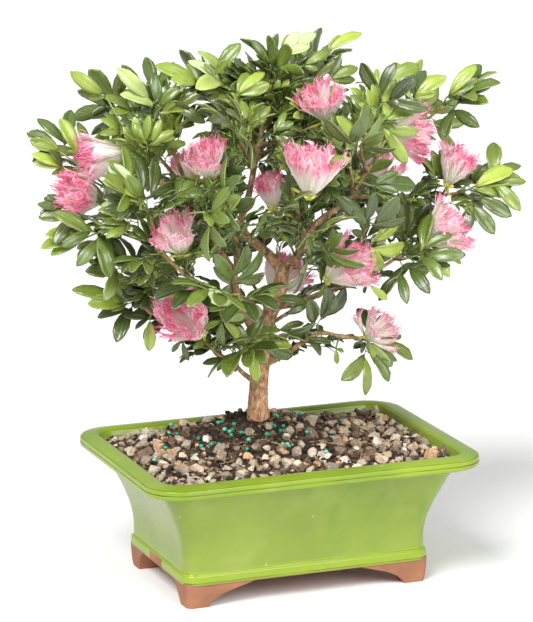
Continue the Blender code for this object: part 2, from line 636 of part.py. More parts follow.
def leaf_pose(start, tip, number, key):
    """Where a leaf leaves its twig, how it points and faces, and its leaflets' lengths and rolls."""
    rng = random.Random(key)
    along = (tip - start).normalized()
    outward = Vector(((tip[i] - CROWN_CENTRE[i]) / CROWN_RADII[i] for i in range(3))).normalized()
    outward.z = max(outward.z, LOWEST_SPREAD)
    towards = -1 if tip.y < BACK_HALF else 1
    loose = Vector((rng.uniform(-1, 1), rng.uniform(-1, 1), rng.uniform(-1, 1)))
    heading = along * ALONG_TWIG + outward * LEVELLING + Vector((0, 0, RISING)) + loose * CHANCE_SHARE
    heading.normalize()
    facing = outward * FACE_OUTWARD
    facing += Vector((0, towards * rng.uniform(*FACE_SIDEWAYS), rng.uniform(*FACE_UP)))
    facing = (facing - heading * facing.dot(heading)).normalized()
    if number:
        swing = math.radians(rng.uniform(*LEAF_SWING)) * (-1) ** number
        heading = Matrix.Rotation(swing, 3, facing) @ heading
    place = tip - along * min(LEAF_SPACING * number, 0.8 * (tip - start).length)
    shortening = TIGHT_SHARE if key % LEAF_TRIES > LEAF_TRIES / 2 else 1
    lengths = [rng.uniform(*LEAFLET_LENGTH) * shortening for _ in range(4)]
    rolls = [math.radians(rng.uniform(-LEAFLET_ROLL, LEAFLET_ROLL)) for _ in range(4)]
    return place, heading, facing, lengths, rolls


def add_leaves(twig, start, tip, count, index, others):
    """Gives a green twig its leaves, each turned until it is clear of everything else."""
    leaves = []
    for number in range(count):
        for attempt in range(LEAF_TRIES):
            key = (index * 10 + number) * LEAF_TRIES + attempt
            leaf = build_leaf(*leaf_pose(start, tip, number, key))
            if not touches(leaf, others + [search_tree(other) for other in leaves]):
                leaves.append(leaf)
                break
            bpy.data.objects.remove(leaf)
        else:
            print("no room for a leaf:", twig.name, number)
    return apply_boolean(twig, "UNION", leaves)


def centre_on_box():
    """Moves everything so that the origin is under the middle of the whole object's box."""
    corners = [vert.co for obj in part_collection().objects for vert in obj.data.vertices]
    low = Vector([min(point[i] for point in corners) for i in range(3)])
    high = Vector([max(point[i] for point in corners) for i in range(3)])
    shift = Vector((-(low.x + high.x) / 2, -(low.y + high.y) / 2, -low.z))
    for obj in part_collection().objects:
        obj.data.transform(Matrix.Translation(shift))


def main():
    clear_scene()
    build_pot()
    for side in (-1, 1):
        build_screen(side)
    build_soil()
    build_gravel()
    build_tree()
    finished = [search_tree(obj) for obj in part_collection().objects]
    for index, (name, (base, ends, spread)) in enumerate(BLOOMS.items()):
        bloom = build_bloom("bloom_" + name, seen(*base), seen(*ends), math.radians(spread), finished,
                            random.Random(SEED + index))
        if touches(bloom, finished):
            print("bloom meets something:", name)
        finished.append(search_tree(bloom))
    twigs = []
    for name, (tip, count) in SHOOTS.items():
        twig, start = free_twig(seen(*tip), STALK_RADIUS, finished + [search_tree(t[0]) for t in twigs],
                                "shoot_" + name, "leaf")
        twigs.append((twig, start, seen(*tip), count))
    for index, (twig, start, tip, count) in enumerate(twigs):
        others = finished + [search_tree(other[0]) for other in twigs if other[0] != twig]
        add_leaves(twig, start, tip, count, index, others)
    centre_on_box()


main()
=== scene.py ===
# Powder puff bonsai: the finish of every surface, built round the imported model.
import functools
import math
import random

import bmesh
import bpy
import numpy as np
from mathutils import Matrix, Vector, noise
from mathutils.bvhtree import BVHTree
from mathutils.kdtree import KDTree


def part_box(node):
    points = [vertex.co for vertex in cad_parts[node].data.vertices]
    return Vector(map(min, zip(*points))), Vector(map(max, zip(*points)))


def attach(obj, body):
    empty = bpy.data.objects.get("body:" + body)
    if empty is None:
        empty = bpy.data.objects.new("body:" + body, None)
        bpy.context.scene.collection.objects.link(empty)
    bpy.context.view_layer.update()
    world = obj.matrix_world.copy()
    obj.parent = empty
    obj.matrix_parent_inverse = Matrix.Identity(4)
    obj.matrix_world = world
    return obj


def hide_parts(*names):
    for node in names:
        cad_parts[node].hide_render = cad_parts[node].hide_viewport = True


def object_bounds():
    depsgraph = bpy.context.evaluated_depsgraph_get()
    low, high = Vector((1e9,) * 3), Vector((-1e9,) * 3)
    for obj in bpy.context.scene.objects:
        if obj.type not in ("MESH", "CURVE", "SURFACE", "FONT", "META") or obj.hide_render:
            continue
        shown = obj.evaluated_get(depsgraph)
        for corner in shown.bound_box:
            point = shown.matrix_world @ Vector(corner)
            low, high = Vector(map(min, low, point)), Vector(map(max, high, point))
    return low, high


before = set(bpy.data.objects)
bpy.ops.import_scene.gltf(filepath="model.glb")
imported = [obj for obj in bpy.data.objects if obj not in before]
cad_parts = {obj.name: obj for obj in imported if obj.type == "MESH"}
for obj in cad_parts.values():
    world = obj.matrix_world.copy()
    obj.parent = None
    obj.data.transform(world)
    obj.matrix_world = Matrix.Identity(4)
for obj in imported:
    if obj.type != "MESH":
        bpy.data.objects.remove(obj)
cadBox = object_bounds()
mm = 0.001
up = Vector((0, 0, 1))
potLow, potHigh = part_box("pot")
potMiddle = Vector(((potLow.x + potHigh.x) / 2, (potLow.y + potHigh.y) / 2, 0))
rimLength = potHigh.x - potLow.x
rimWidth = potHigh.y - potLow.y


# Where the photograph was taken from, in the pot's own frame
view = {
    "imageSize": (533, 622),
    "focalPixels": 3611,
    "turn": math.radians(-21.6),
    "tilt": math.radians(13.3),
    "distance": 2.2,
    "lookAt": potMiddle + Vector((-7.4, 0, 167.2)) * mm,
}
view["right"] = Vector((math.cos(view["turn"]), math.sin(view["turn"]), 0))
view["back"] = Vector((math.sin(view["turn"]) * math.cos(view["tilt"]),
                       -math.cos(view["turn"]) * math.cos(view["tilt"]), math.sin(view["tilt"])))
view["up"] = view["back"].cross(view["right"])
view["eye"] = view["lookAt"] + view["back"] * view["distance"]


def seen(across, down, behind):  # the point seen at a pixel, that many mm behind the pot's middle line
    width, height = view["imageSize"]
    ray = view["right"] * (across - width / 2) + view["up"] * (height / 2 - down)
    ray -= view["back"] * view["focalPixels"]
    return view["eye"] + ray * ((potMiddle.y + behind * mm - view["eye"].y) / ray.y)


def pixelOf(point):  # pixel across, pixel down and distance from the eye
    away = point - view["eye"]
    depth = -away.dot(view["back"])
    width, height = view["imageSize"]
    return (width / 2 + view["focalPixels"] * away.dot(view["right"]) / depth,
            height / 2 - view["focalPixels"] * away.dot(view["up"]) / depth, depth)


def deselectAll():
    if bpy.context.mode != "OBJECT":
        bpy.ops.object.mode_set(mode="OBJECT")
    bpy.ops.object.select_all(action="DESELECT")


def selectOnly(*chosen):  # the first becomes the active object
    deselectAll()
    for obj in chosen:
        obj.select_set(True)
    bpy.context.view_layer.objects.active = chosen[0]


def editWhole(obj):
    selectOnly(obj)
    bpy.ops.object.mode_set(mode="EDIT")
    bpy.ops.mesh.select_all(action="SELECT")


def newObject(name, data):
    obj = bpy.data.objects.new(name, data)
    bpy.context.scene.collection.objects.link(obj)
    return obj


def applyAll(obj):  # modifiers and place go into the mesh
    selectOnly(obj)
    for modifier in list(obj.modifiers):
        bpy.ops.object.modifier_apply(modifier=modifier.name)
    bpy.ops.object.transform_apply(location=True, rotation=True, scale=True)


def finishPiece(obj, name, materials, replaced=(), smoothAngle=None):
    obj.name = name
    obj.data.name = name
    obj.data.materials.clear()
    for material in materials:
        obj.data.materials.append(material)
    if smoothAngle is not None:
        selectOnly(obj)
        bpy.ops.object.shade_smooth_by_angle(angle=math.radians(smoothAngle))
    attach(obj, "root")
    if replaced:
        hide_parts(*replaced)
    print("made", name, len(obj.data.polygons), "faces")
    return obj


# Meshes of many copies: a pattern is read once as arrays, and a piece is put together from its copies
def readAll(items, key, kind=np.int32, width=1):
    values = np.empty(len(items) * width, kind)
    items.foreach_get(key, values)
    return values.reshape(-1, width) if width > 1 else values


def patternOf(obj, mapped=False):
    mesh = obj.data
    pattern = {"points": readAll(mesh.vertices, "co", float, 3),
               "corners": readAll(mesh.loops, "vertex_index"),
               "starts": readAll(mesh.polygons, "loop_start"),
               "slots": readAll(mesh.polygons, "material_index")}
    if mapped:
        pattern["uv"] = readAll(mesh.uv_layers.active.data, "uv", float, 2)
    bpy.data.objects.remove(obj)
    return pattern


def copyOf(pattern, matrix, **values):  # values: one number, or one for each point
    points = pattern["points"] @ np.array(matrix.to_3x3()).T + np.array(matrix.translation)
    return {**pattern, "points": points, "values": values}


def joined(copies, key, counted=None):  # one array of all copies, moved on by what is counted before each
    if not counted:
        return np.concatenate([c[key] for c in copies])
    before = np.cumsum([0] + [len(c[counted]) for c in copies])
    return np.concatenate([c[key] + count for c, count in zip(copies, before)]).astype(np.int32)


def pieceFrom(copies, valueNames=()):
    mesh = bpy.data.meshes.new("copies")
    points = joined(copies, "points")
    corners = joined(copies, "corners", "points")
    starts = joined(copies, "starts", "corners")
    mesh.vertices.add(len(points))
    mesh.loops.add(len(corners))
    mesh.polygons.add(len(starts))
    mesh.vertices.foreach_set("co", points.ravel())
    mesh.loops.foreach_set("vertex_index", corners)
    mesh.polygons.foreach_set("loop_start", starts)
    mesh.polygons.foreach_set("material_index", joined(copies, "slots").astype(np.int32))
    if any("uv" in c for c in copies):
        uv = np.concatenate([c.get("uv", np.zeros((len(c["corners"]), 2))) for c in copies])
        mesh.uv_layers.new(name="leafMap").data.foreach_set("uv", uv.ravel())
    for name in valueNames:
        spread = [np.broadcast_to(np.asarray(c["values"].get(name, 0.0), float), len(c["points"]))
                  for c in copies]
        setValues(mesh, name, np.concatenate(spread))
    mesh.polygons.foreach_set("use_smooth", np.ones(len(starts), bool))
    mesh.update(calc_edges=True)
    mesh.validate()
    return newObject("copies", mesh)


def setValues(mesh, name, values):  # one number for each point, for the materials
    mesh.attributes.new(name, "FLOAT", "POINT").data.foreach_set("value", values)


def sweep(points, radii, sides, slot=0, **values):  # a closed tube along the points, widths in metres
    points = [Vector(p) for p in points]
    last = len(points) - 1
    ahead = [(points[min(i + 1, last)] - points[max(i - 1, 0)]).normalized() for i in range(last + 1)]
    side = ahead[0].orthogonal().normalized()
    skin = []
    for point, along, radius in zip(points, ahead, radii):
        side = (side - along * side.dot(along)).normalized()
        other = along.cross(side)
        skin += [point + (side * math.cos(a) + other * math.sin(a)) * radius
                 for a in (2 * math.pi * k / sides for k in range(sides))]
    corners = []
    for i in range(last):
        for k in range(sides):
            j = (k + 1) % sides
            corners += [i * sides + k, i * sides + j, (i + 1) * sides + j, (i + 1) * sides + k]
    quads = len(corners) // 4
    starts = [4 * i for i in range(quads)] + [4 * quads, 4 * quads + sides]
    corners += [*reversed(range(sides)), *range(last * sides, (last + 1) * sides)]
    spread = {name: np.repeat(np.broadcast_to(value, last + 1), sides) for name, value in values.items()}
    return {"points": np.array(skin), "corners": np.array(corners, np.int32), "values": spread,
            "starts": np.array(starts, np.int32), "slots": np.full(len(starts), slot, np.int32)}


def smoothLine(points, steps):  # more points on a round curve through the given ones
    ends = [points[0] * 2 - points[1]] + list(points) + [points[-1] * 2 - points[-2]]
    line = []
    for a, b, c, d in zip(ends, ends[1:], ends[2:], ends[3:]):
        for step in range(steps):
            t = step / steps
            line.append(0.5 * (2 * b + (c - a) * t + (2 * a - 5 * b + 4 * c - d) * t * t
                               + (3 * b - 3 * c + d - a) * t * t * t))
    return line + [points[-1]]


def roundCorners(rows, rounds, share=0.25):  # cuts the corners of an open line of rows
    rows = [np.array(row, float) for row in rows]
    for _ in range(rounds):
        cut = [rows[0]]
        for a, b in zip(rows, rows[1:]):
            cut += [a + (b - a) * share, b + (a - b) * share]
        rows = cut + [rows[-1]]
    return rows


def loft(rings):  # skins equal rings of points, one to the next, and closes both ends
    bm = bmesh.new()
    rows = [[bm.verts.new(point) for point in ring] for ring in rings]
    for low, high in zip(rows, rows[1:]):
        for i in range(len(low)):
            j = (i + 1) % len(low)
            bm.faces.new((low[i], low[j], high[j], high[i]))
    bm.faces.new(rows[0])
    bm.faces.new(rows[-1])
    bmesh.ops.recalc_face_normals(bm, faces=bm.faces)
    mesh = bpy.data.meshes.new("loft")
    bm.to_mesh(mesh)
    bm.free()
    return newObject("loft", mesh)


# Node helpers and the effects that several materials share
def setInput(tree, socket, value):  # a link, a colour or a number
    if isinstance(value, bpy.types.NodeSocket):
        tree.links.new(value, socket)
    else:
        socket.default_value = (*value, 1) if socket.type == "RGBA" else value


def addNode(tree, kind, inputs=None, **settings):
    node = tree.nodes.new("ShaderNode" + kind)
    for name, value in settings.items():
        setattr(node, name, value)
    for name, value in (inputs or {}).items():
        setInput(tree, node.inputs[name], value)
    return node.outputs


def objectPlace(tree):
    return addNode(tree, "TexCoord")["Object"]


def pieceValue(tree, name):
    return addNode(tree, "Attribute", attribute_name=name)["Fac"]


def noiseOn(tree, place, scale, detail, roughness=0.5):
    return addNode(tree, "TexNoise", {"Vector": place, "Scale": scale, "Detail": detail,
                                      "Roughness": roughness})["Fac"]


def bumpOf(tree, height, strength, depth, inputs=None, **settings):
    sockets = {"Strength": strength, "Distance": depth, "Height": height, **(inputs or {})}
    return addNode(tree, "Bump", sockets, **settings)["Normal"]


def mixColour(tree, factor, first, second):
    return addNode(tree, "Mix", {0: factor, 6: first, 7: second}, data_type="RGBA")[2]


def ramp(tree, factor, stops):
    colour = addNode(tree, "ValToRGB", {"Fac": factor})["Color"]
    elements = colour.node.color_ramp.elements
    while len(elements) < len(stops):
        elements.new(0.5)
    for element, (place, shade) in zip(elements, stops):
        element.position = place
        element.color = (*shade, 1)
    return colour


def reach(tree, value, low, high, toLow=0.0, toHigh=1.0):
    return addNode(tree, "MapRange", {"Value": value, "From Min": low, "From Max": high, "To Min": toLow,
                                      "To Max": toHigh})["Result"]


def maths(tree, operation, *inputs):
    return addNode(tree, "Math", dict(enumerate(inputs)), operation=operation)[0]


def times(tree, first, second):
    return maths(tree, "MULTIPLY", first, second)


def newGroup(name, inputs, outputs):  # an input with a number is a float, one without is a colour
    group = bpy.data.node_groups.new(name, "ShaderNodeTree")
    for socketName, value in inputs.items():
        kind = "NodeSocketColor" if value is None else "NodeSocketFloat"
        socket = group.interface.new_socket(socketName, in_out="INPUT", socket_type=kind)
        if value is not None:
            socket.default_value = value
    for socketName, kind in outputs.items():
        group.interface.new_socket(socketName, in_out="OUTPUT", socket_type="NodeSocket" + kind)
    return group, group.nodes.new("NodeGroupInput").outputs, group.nodes.new("NodeGroupOutput").inputs


def useGroup(tree, group, inputs):
    return addNode(tree, "Group", inputs, node_tree=group)


def makeGrainGroup():  # a rough, grainy surface
    group, given, out = newGroup("surfaceGrain", {"Scale": 400.0, "Strength": 0.5, "Depth": 0.5 * mm},
                                 {"Normal": "Vector", "Height": "Float"})
    grain = noiseOn(group, objectPlace(group), given["Scale"], 5.0, 0.65)
    group.links.new(bumpOf(group, grain, given["Strength"], given["Depth"]), out["Normal"])
    group.links.new(grain, out["Height"])
    return group


def makeMottleGroup():  # soft patches of lighter and darker colour
    group, given, out = newGroup("mottle", {"Colour": None, "Scale": 40.0, "Amount": 0.3},
                                 {"Colour": "Color", "Patches": "Float"})
    patches = noiseOn(group, objectPlace(group), given["Scale"], 4.0)
    swing = times(group, maths(group, "SUBTRACT", patches, 0.5), given["Amount"])
    shift = maths(group, "MULTIPLY_ADD", swing, 2.0, 1.0)
    changed = addNode(group, "HueSaturation", {"Color": given["Colour"], "Value": shift})["Color"]
    group.links.new(changed, out["Colour"])
    group.links.new(patches, out["Patches"])
    return group


def makeSpeckGroup():  # small separate dots
    group, given, out = newGroup("specks", {"Scale": 200.0, "Size": 0.2, "Share": 0.3}, {"Mask": "Float"})
    cells = addNode(group, "TexVoronoi", {"Vector": objectPlace(group), "Scale": given["Scale"]})
    dot = maths(group, "LESS_THAN", cells["Distance"], given["Size"])
    chosen = addNode(group, "SeparateColor", {"Color": cells["Color"]})[0]
    group.links.new(times(group, dot, maths(group, "LESS_THAN", chosen, given["Share"])), out["Mask"])
    return group


grainGroup = makeGrainGroup()
mottleGroup = makeMottleGroup()
speckGroup = makeSpeckGroup()


def newMaterial(name, colour, roughness, **sockets):
    material = bpy.data.materials.new(name)
    material.use_nodes = True
    shader = material.node_tree.nodes["Principled BSDF"].inputs
    for socketName, value in {"Base Color": colour, "Roughness": roughness, **sockets}.items():
        setInput(material.node_tree, shader[socketName.replace("_", " ")], value)
    material.diffuse_color = (*colour, 1)
    return material, material.node_tree, shader


def mottled(tree, colour, scale, amount):
    return useGroup(tree, mottleGroup, {"Colour": colour, "Scale": scale, "Amount": amount})["Colour"]


def specked(tree, colour, scale, size, share, strength, dotColour):
    dots = useGroup(tree, speckGroup, {"Scale": scale, "Size": size, "Share": share})["Mask"]
    return mixColour(tree, times(tree, dots, strength), colour, dotColour)


def grained(tree, scale, strength, depth):
    return useGroup(tree, grainGroup, {"Scale": scale, "Strength": strength, "Depth": depth})["Normal"]


# Plain surfaces: flat colour, roughness, then its patches, dots and grain
# base: one colour, or (place, colour) stops along the tone of each copy
surfaces = {
    "bareTerracotta": {"flat": (0.40, 0.17, 0.09), "roughness": 0.85, "base": (0.31, 0.132, 0.072),
                       "patches": (60.0, 0.45), "dots": ((500.0, 0.16, 0.25, 0.5, (0.17, 0.07, 0.036)),),
                       "grain": (900.0, 0.35, 0.3 * mm)},
    "blackMesh": {"flat": (0.012, 0.012, 0.012), "roughness": 0.45, "base": (0.014, 0.014, 0.014),
                  "patches": (300.0, 0.6)},
    "pottingMix": {"flat": (0.05, 0.03, 0.02), "roughness": 0.95,
                   "base": ((0.0, (0.018, 0.011, 0.008)), (0.5, (0.045, 0.027, 0.018)),
                            (0.78, (0.12, 0.068, 0.038)), (0.93, (0.26, 0.15, 0.075)),
                            (1.0, (0.56, 0.42, 0.20))),
                   "patches": (330.0, 0.9), "grain": (900.0, 0.9, 0.9 * mm)},
    "gravelStone": {"flat": (0.45, 0.4, 0.33), "roughness": 0.85,
                    "base": ((0.0, (0.10, 0.058, 0.032)), (0.12, (0.19, 0.125, 0.075)),
                             (0.26, (0.31, 0.235, 0.165)), (0.45, (0.43, 0.35, 0.25)),
                             (0.62, (0.52, 0.43, 0.31)), (0.76, (0.66, 0.57, 0.44)),
                             (0.86, (0.54, 0.34, 0.19)), (0.92, (0.60, 0.32, 0.15)),
                             (1.0, (0.76, 0.70, 0.60))),
                    "patches": (300.0, 0.75),
                    "dots": ((900.0, 0.3, 0.3, 0.5, (0.09, 0.075, 0.06)),
                             (620.0, 0.28, 0.22, 0.5, (0.86, 0.81, 0.70))),
                    "grain": (520.0, 1.0, 1.1 * mm)},
    "feedGrain": {"flat": (0.03, 0.36, 0.22), "roughness": 0.4,
                  "base": ((0.0, (0.015, 0.22, 0.13)), (0.6, (0.03, 0.38, 0.24)), (1.0, (0.16, 0.58, 0.40))),
                  "patches": (700.0, 0.4)},
    "greenTwig": {"flat": (0.3, 0.32, 0.06), "roughness": 0.55,
                  "base": ((0.0, (0.26, 0.15, 0.055)), (0.4, (0.34, 0.27, 0.06)), (1.0, (0.36, 0.44, 0.07))),
                  "patches": (300.0, 0.5), "grain": (1100.0, 0.3, 0.3 * mm)},
    "paleFloor": {"flat": (0.88, 0.88, 0.875), "roughness": 0.9, "base": (0.88, 0.88, 0.875),
                  "patches": (3.0, 0.03)},
}


def makeSurface(name):
    look = surfaces[name]
    material, tree, shader = newMaterial(name, look["flat"], look["roughness"])
    base = look["base"]
    if isinstance(base[0], tuple):
        base = ramp(tree, pieceValue(tree, "tone"), base)
    colour = mottled(tree, base, *look["patches"])
    for dots in look.get("dots", ()):
        colour = specked(tree, colour, *dots)
    tree.links.new(colour, shader["Base Color"])
    if "grain" in look:
        tree.links.new(grained(tree, *look["grain"]), shader["Normal"])
    return material


# Glaze
glaze = {
    "wall": (0.215, 0.288, 0.040),
    "rim": (0.240, 0.338, 0.022),
    "band": (0.240, 0.335, 0.024),
    "break": (0.11, 0.048, 0.013),
    "pale": (0.34, 0.40, 0.12),
    "green": (0.130, 0.228, 0.016),
    "speck": (0.42, 0.47, 0.22),
    "rimFrom": 75.0 * mm,
    "bandTo": 22.0 * mm,
    "lines": ((82.4, 0.17, 0.8), (79.4, 0.2, 0.75), (76.6, 0.3, 0.75), (73.4, 0.22, 0.3),
              (21.4, 0.3, 0.5), (16.0, 0.35, 0.75)),
    "roughness": 0.24,
}


def makeGlazeMaterial():
    material, tree, shader = newMaterial("limeGlaze", glaze["wall"], glaze["roughness"],
                                         Coat_Weight=0.18, Coat_Roughness=0.12, Specular_IOR_Level=0.28)
    place = objectPlace(tree)
    height = addNode(tree, "SeparateXYZ", {"Vector": place})["Z"]
    wobble = noiseOn(tree, place, 55.0, 3.0)
    flow = noiseOn(tree, place, 18.0, 2.0)
    streaked = addNode(tree, "Mapping", {"Vector": place, "Scale": (1.0, 1.0, 0.3)})["Vector"]
    greener = reach(tree, noiseOn(tree, streaked, 34.0, 3.0), 0.5, 0.72, 0.0, 0.6)
    colour = mixColour(tree, greener, mottled(tree, glaze["wall"], 24.0, 0.3), glaze["green"])
    rimMask = reach(tree, height, glaze["rimFrom"], glaze["rimFrom"] + 1.2 * mm)
    rimTone = mixColour(tree, reach(tree, flow, 0.4, 0.66, 0.0, 0.55), glaze["rim"], glaze["green"])
    colour = mixColour(tree, rimMask, colour, rimTone)
    bandMask = reach(tree, height, glaze["bandTo"] + 1.5 * mm, glaze["bandTo"])
    colour = mixColour(tree, bandMask, colour, glaze["band"])
    colour = mixColour(tree, reach(tree, wobble, 0.55, 0.75, 0.0, 0.22), colour, glaze["pale"])
    lifted = maths(tree, "MULTIPLY_ADD", wobble, 0.5 * mm, height)
    total = None
    for level, halfWidth, strength in glaze["lines"]:  # dark clay shows where the glaze breaks over an edge
        away = maths(tree, "ABSOLUTE", maths(tree, "SUBTRACT", lifted, (level + 0.25) * mm))
        line = reach(tree, away, halfWidth * mm, 0.4 * halfWidth * mm, 0.0, strength)
        total = maths(tree, "MAXIMUM", total, line) if total else line
    total = times(tree, total, reach(tree, wobble, 0.34, 0.5, 0.25, 1.0))
    colour = mixColour(tree, total, colour, glaze["break"])
    tree.links.new(specked(tree, colour, 105.0, 0.09, 0.16, 0.7, glaze["speck"]), shader["Base Color"])
    tree.links.new(bumpOf(tree, flow, 0.12, 0.6 * mm), shader["Normal"])
    return material


# Pot: the same wall profile as the solid, on rounder corners
potShape = {
    "outside": ((28.2, 14.3, 9), (27.3, 16, 9.5), (27.5, 20, 9.5), (29, 21.5, 9), (28.8, 32, 9),
                (27.4, 41, 9), (24, 51, 10), (19.4, 61, 12), (15.2, 69, 15), (12.8, 73.6, 17.5),
                (1.0, 76.4, 22.6), (0.1, 77.2, 22.6), (0, 79.2, 22.6), (0.5, 79.5, 22.6), (0.1, 79.9, 22.6),
                (0.2, 81.8, 22.6), (0.9, 82.6, 22), (6, 83.7, 19), (9.4, 84, 15)),
    "inside": ((10.6, 83.8, 12), (12.4, 82.4, 11), (13.2, 79.4, 11), (18, 72.5, 10), (24.4, 60, 9),
               (30, 45, 7), (33.5, 30, 6), (35.4, 20.3, 6)),
    "unevenness": 0.35 * mm,
    "drainRadius": 8 * mm,
    "drainOffset": 34 * mm,
    "floorTop": 20.3 * mm,
    "glazedFrom": 14.6 * mm,
}


def roundedRing(inset, height, radius, cornerSteps=12, sideSteps=8):  # a rounded rectangle in the pot
    def onCorner(number, degrees):
        sideX, sideY = ((1, 1), (-1, 1), (-1, -1), (1, -1))[number % 4]
        angle = math.radians(degrees)
        return Vector((sideX * (rimLength / 2 - inset - radius) + radius * math.cos(angle),
                       sideY * (rimWidth / 2 - inset - radius) + radius * math.sin(angle), height))

    points = []
    for turn in range(4):
        points += [onCorner(turn, 90 * (turn + step / cornerSteps)) for step in range(cornerSteps + 1)]
        end = onCorner(turn + 1, 90 * (turn + 1))
        start = points[-1].copy()
        points += [start.lerp(end, step / sideSteps) for step in range(1, sideSteps)]
    return [point + potMiddle for point in points]


def makePot():
    rows = roundCorners(roundCorners(potShape["outside"] + potShape["inside"], 1, 0.16), 1, 0.22)
    rings = [roundedRing(inset * mm, height * mm, radius * mm) for inset, height, radius in rows]
    for ring in rings[2:-2]:  # a hand-pressed wall is never quite even
        for point in ring:
            sway = noise.noise(Vector((point.x, point.y, point.z * 2)) * 16)
            outward = Vector((point.x - potMiddle.x, (point.y - potMiddle.y) * 1.35, 0)).normalized()
            point -= outward * potShape["unevenness"] * (0.5 + 0.5 * sway)
    pot = loft(rings)
    drills = []
    for side in (-1, 1):
        deselectAll()
        bpy.ops.mesh.primitive_cylinder_add(
            vertices=32, radius=potShape["drainRadius"], depth=potShape["floorTop"],
            location=potMiddle + Vector((side * potShape["drainOffset"], 0, 17.3 * mm)))
        drills.append(bpy.context.object)
    for drill in drills:
        cut = pot.modifiers.new("drain", "BOOLEAN")
        cut.operation = "DIFFERENCE"
        cut.object = drill
    applyAll(pot)
    for drill in drills:
        bpy.data.objects.remove(drill)
    finishPiece(pot, "glazedPot", (glazeMaterial, clayMaterial), ("pot",), 38)
    for face in pot.data.polygons:
        steep = abs(face.normal.z) < 0.5 and face.center.z < potShape["floorTop"]
        inDrain = steep and abs(face.center.y - potMiddle.y) < 10 * mm
        face.material_index = 1 if face.center.z < potShape["glazedFrom"] or inDrain else 0


footShape = {
    "sections": ((30, 0, 14, 13), (29.4, 2.5, 16, 14), (29, 7.5, 23, 17), (28.8, 11.5, 36, 21),
                 (28.7, 13.8, 45, 26), (28.7, 15.5, 46, 27)),
    "cornerRadius": 3.6,
    "innerRadius": 1.2,
}


def footRing(sideX, sideY, inset, height, along, across):
    outline = []
    inner = footShape["innerRadius"]
    for x, y, angle, radius, steps in ((0, 0, 180, footShape["cornerRadius"], 5), (along, 0, 270, inner, 3),
                                       (along, across, 0, inner, 3), (0, across, 90, inner, 3)):
        centreX = x - radius if x else radius
        centreY = y - radius if y else radius
        for step in range(steps + 1):
            a = math.radians(angle + 90 * step / steps)
            outline.append((centreX + radius * math.cos(a), centreY + radius * math.sin(a)))
    return [potMiddle + Vector((sideX * (rimLength / 2 - (inset + x) * mm),
                                sideY * (rimWidth / 2 - (inset + y) * mm), height * mm)) for x, y in outline]


def makeFeet():
    rows = roundCorners(footShape["sections"], 2)
    feet = [loft([footRing(sideX, sideY, *row) for row in rows]) for sideX in (-1, 1) for sideY in (-1, 1)]
    selectOnly(*feet)
    bpy.ops.object.join()
    finishPiece(feet[0], "terracottaFeet", (clayMaterial,), ("pot",), 35)


# Drain screens: a plastic mesh over each hole
screenShape = {"size": 26 * mm, "thickness": 1.2 * mm, "openings": 8, "gap": 0.3 * mm,
               "wire": 0.8}


def makeScreens():
    material = makeSurface("blackMesh")
    thickness = screenShape["thickness"]
    height = potShape["floorTop"] + screenShape["gap"] + thickness / 2
    openings = screenShape["openings"]
    for side, name in ((-1, "left"), (1, "right")):
        deselectAll()
        place = potMiddle + Vector((side * potShape["drainOffset"], 0, height))
        bpy.ops.mesh.primitive_grid_add(x_subdivisions=openings, y_subdivisions=openings,
                                        size=screenShape["size"], location=place)
        screen = bpy.context.object
        screen.modifiers.new("wires", "WIREFRAME").thickness = thickness * screenShape["wire"]
        applyAll(screen)
        finishPiece(screen, "drainScreen." + name, (material,), ("drain_screen_" + name,), 30)


# Soil and what lies on it
soilShape = {
    "edge": 78 * mm,
    "inset": 14.9 * mm,
    "corner": 9.5 * mm,
    "trunkAt": potMiddle + Vector((-5, 20, 76)) * mm,
    "moundRise": 16 * mm,
    "moundReach": 46 * mm,
    "wallSlope": 12 * mm,
    "rings": 42,
    "roughness": 1.9 * mm,
    "trunkHole": 5.5 * mm,
    "sides": ((36, 24), (34.2, 30), (30.7, 45), (25.1, 60), (18.8, 72.5)),   # inset and height in mm
}


def soilHeight(x, y):
    middle = soilShape["trunkAt"]
    wall = min(rimLength / 2 - soilShape["inset"] - abs(x - potMiddle.x),
               rimWidth / 2 - soilShape["inset"] - abs(y - potMiddle.y))
    ease = max(0.0, min(1.0, wall / soilShape["wallSlope"]))
    away = math.hypot(x - middle.x, y - middle.y) / soilShape["moundReach"]
    return soilShape["edge"] + soilShape["moundRise"] * math.exp(-away * away) * ease * ease * (3 - 2 * ease)


def soilSurface(x, y):  # with its clods
    clods = noise.fractal(Vector((x, y, 0)) * 260, 0.8, 2.0, 4)
    return soilHeight(x, y) + 0.8 * mm + soilShape["roughness"] * clods


def makeSoil():
    middle = soilShape["trunkAt"]
    outer = roundedRing(soilShape["inset"], 0, soilShape["corner"], 6, 26)
    rings = [roundedRing(inset * mm, height * mm, soilShape["corner"] * 0.6, 6, 26)
             for inset, height in soilShape["sides"]]
    for step in range(soilShape["rings"] + 1):
        share = step / soilShape["rings"]
        ring = []
        for point in outer:
            outward = Vector((point.x - middle.x, point.y - middle.y, 0)).normalized()
            place = Vector((point.x, point.y, 0)).lerp(
                Vector((middle.x, middle.y, 0)) + outward * soilShape["trunkHole"], share)
            place.z = soilSurface(place.x, place.y)
            ring.append(place)
        rings.append(ring)
    rings.append([Vector((p.x, p.y, soilShape["trunkAt"].z)) for p in rings[-1]])
    soil = loft(rings)
    setValues(soil.data, "tone", [0.5 + 0.9 * noise.noise(v.co * 420) for v in soil.data.vertices])
    return finishPiece(soil, "pottingSoil", (soilMaterial,), ("soil",), 60)


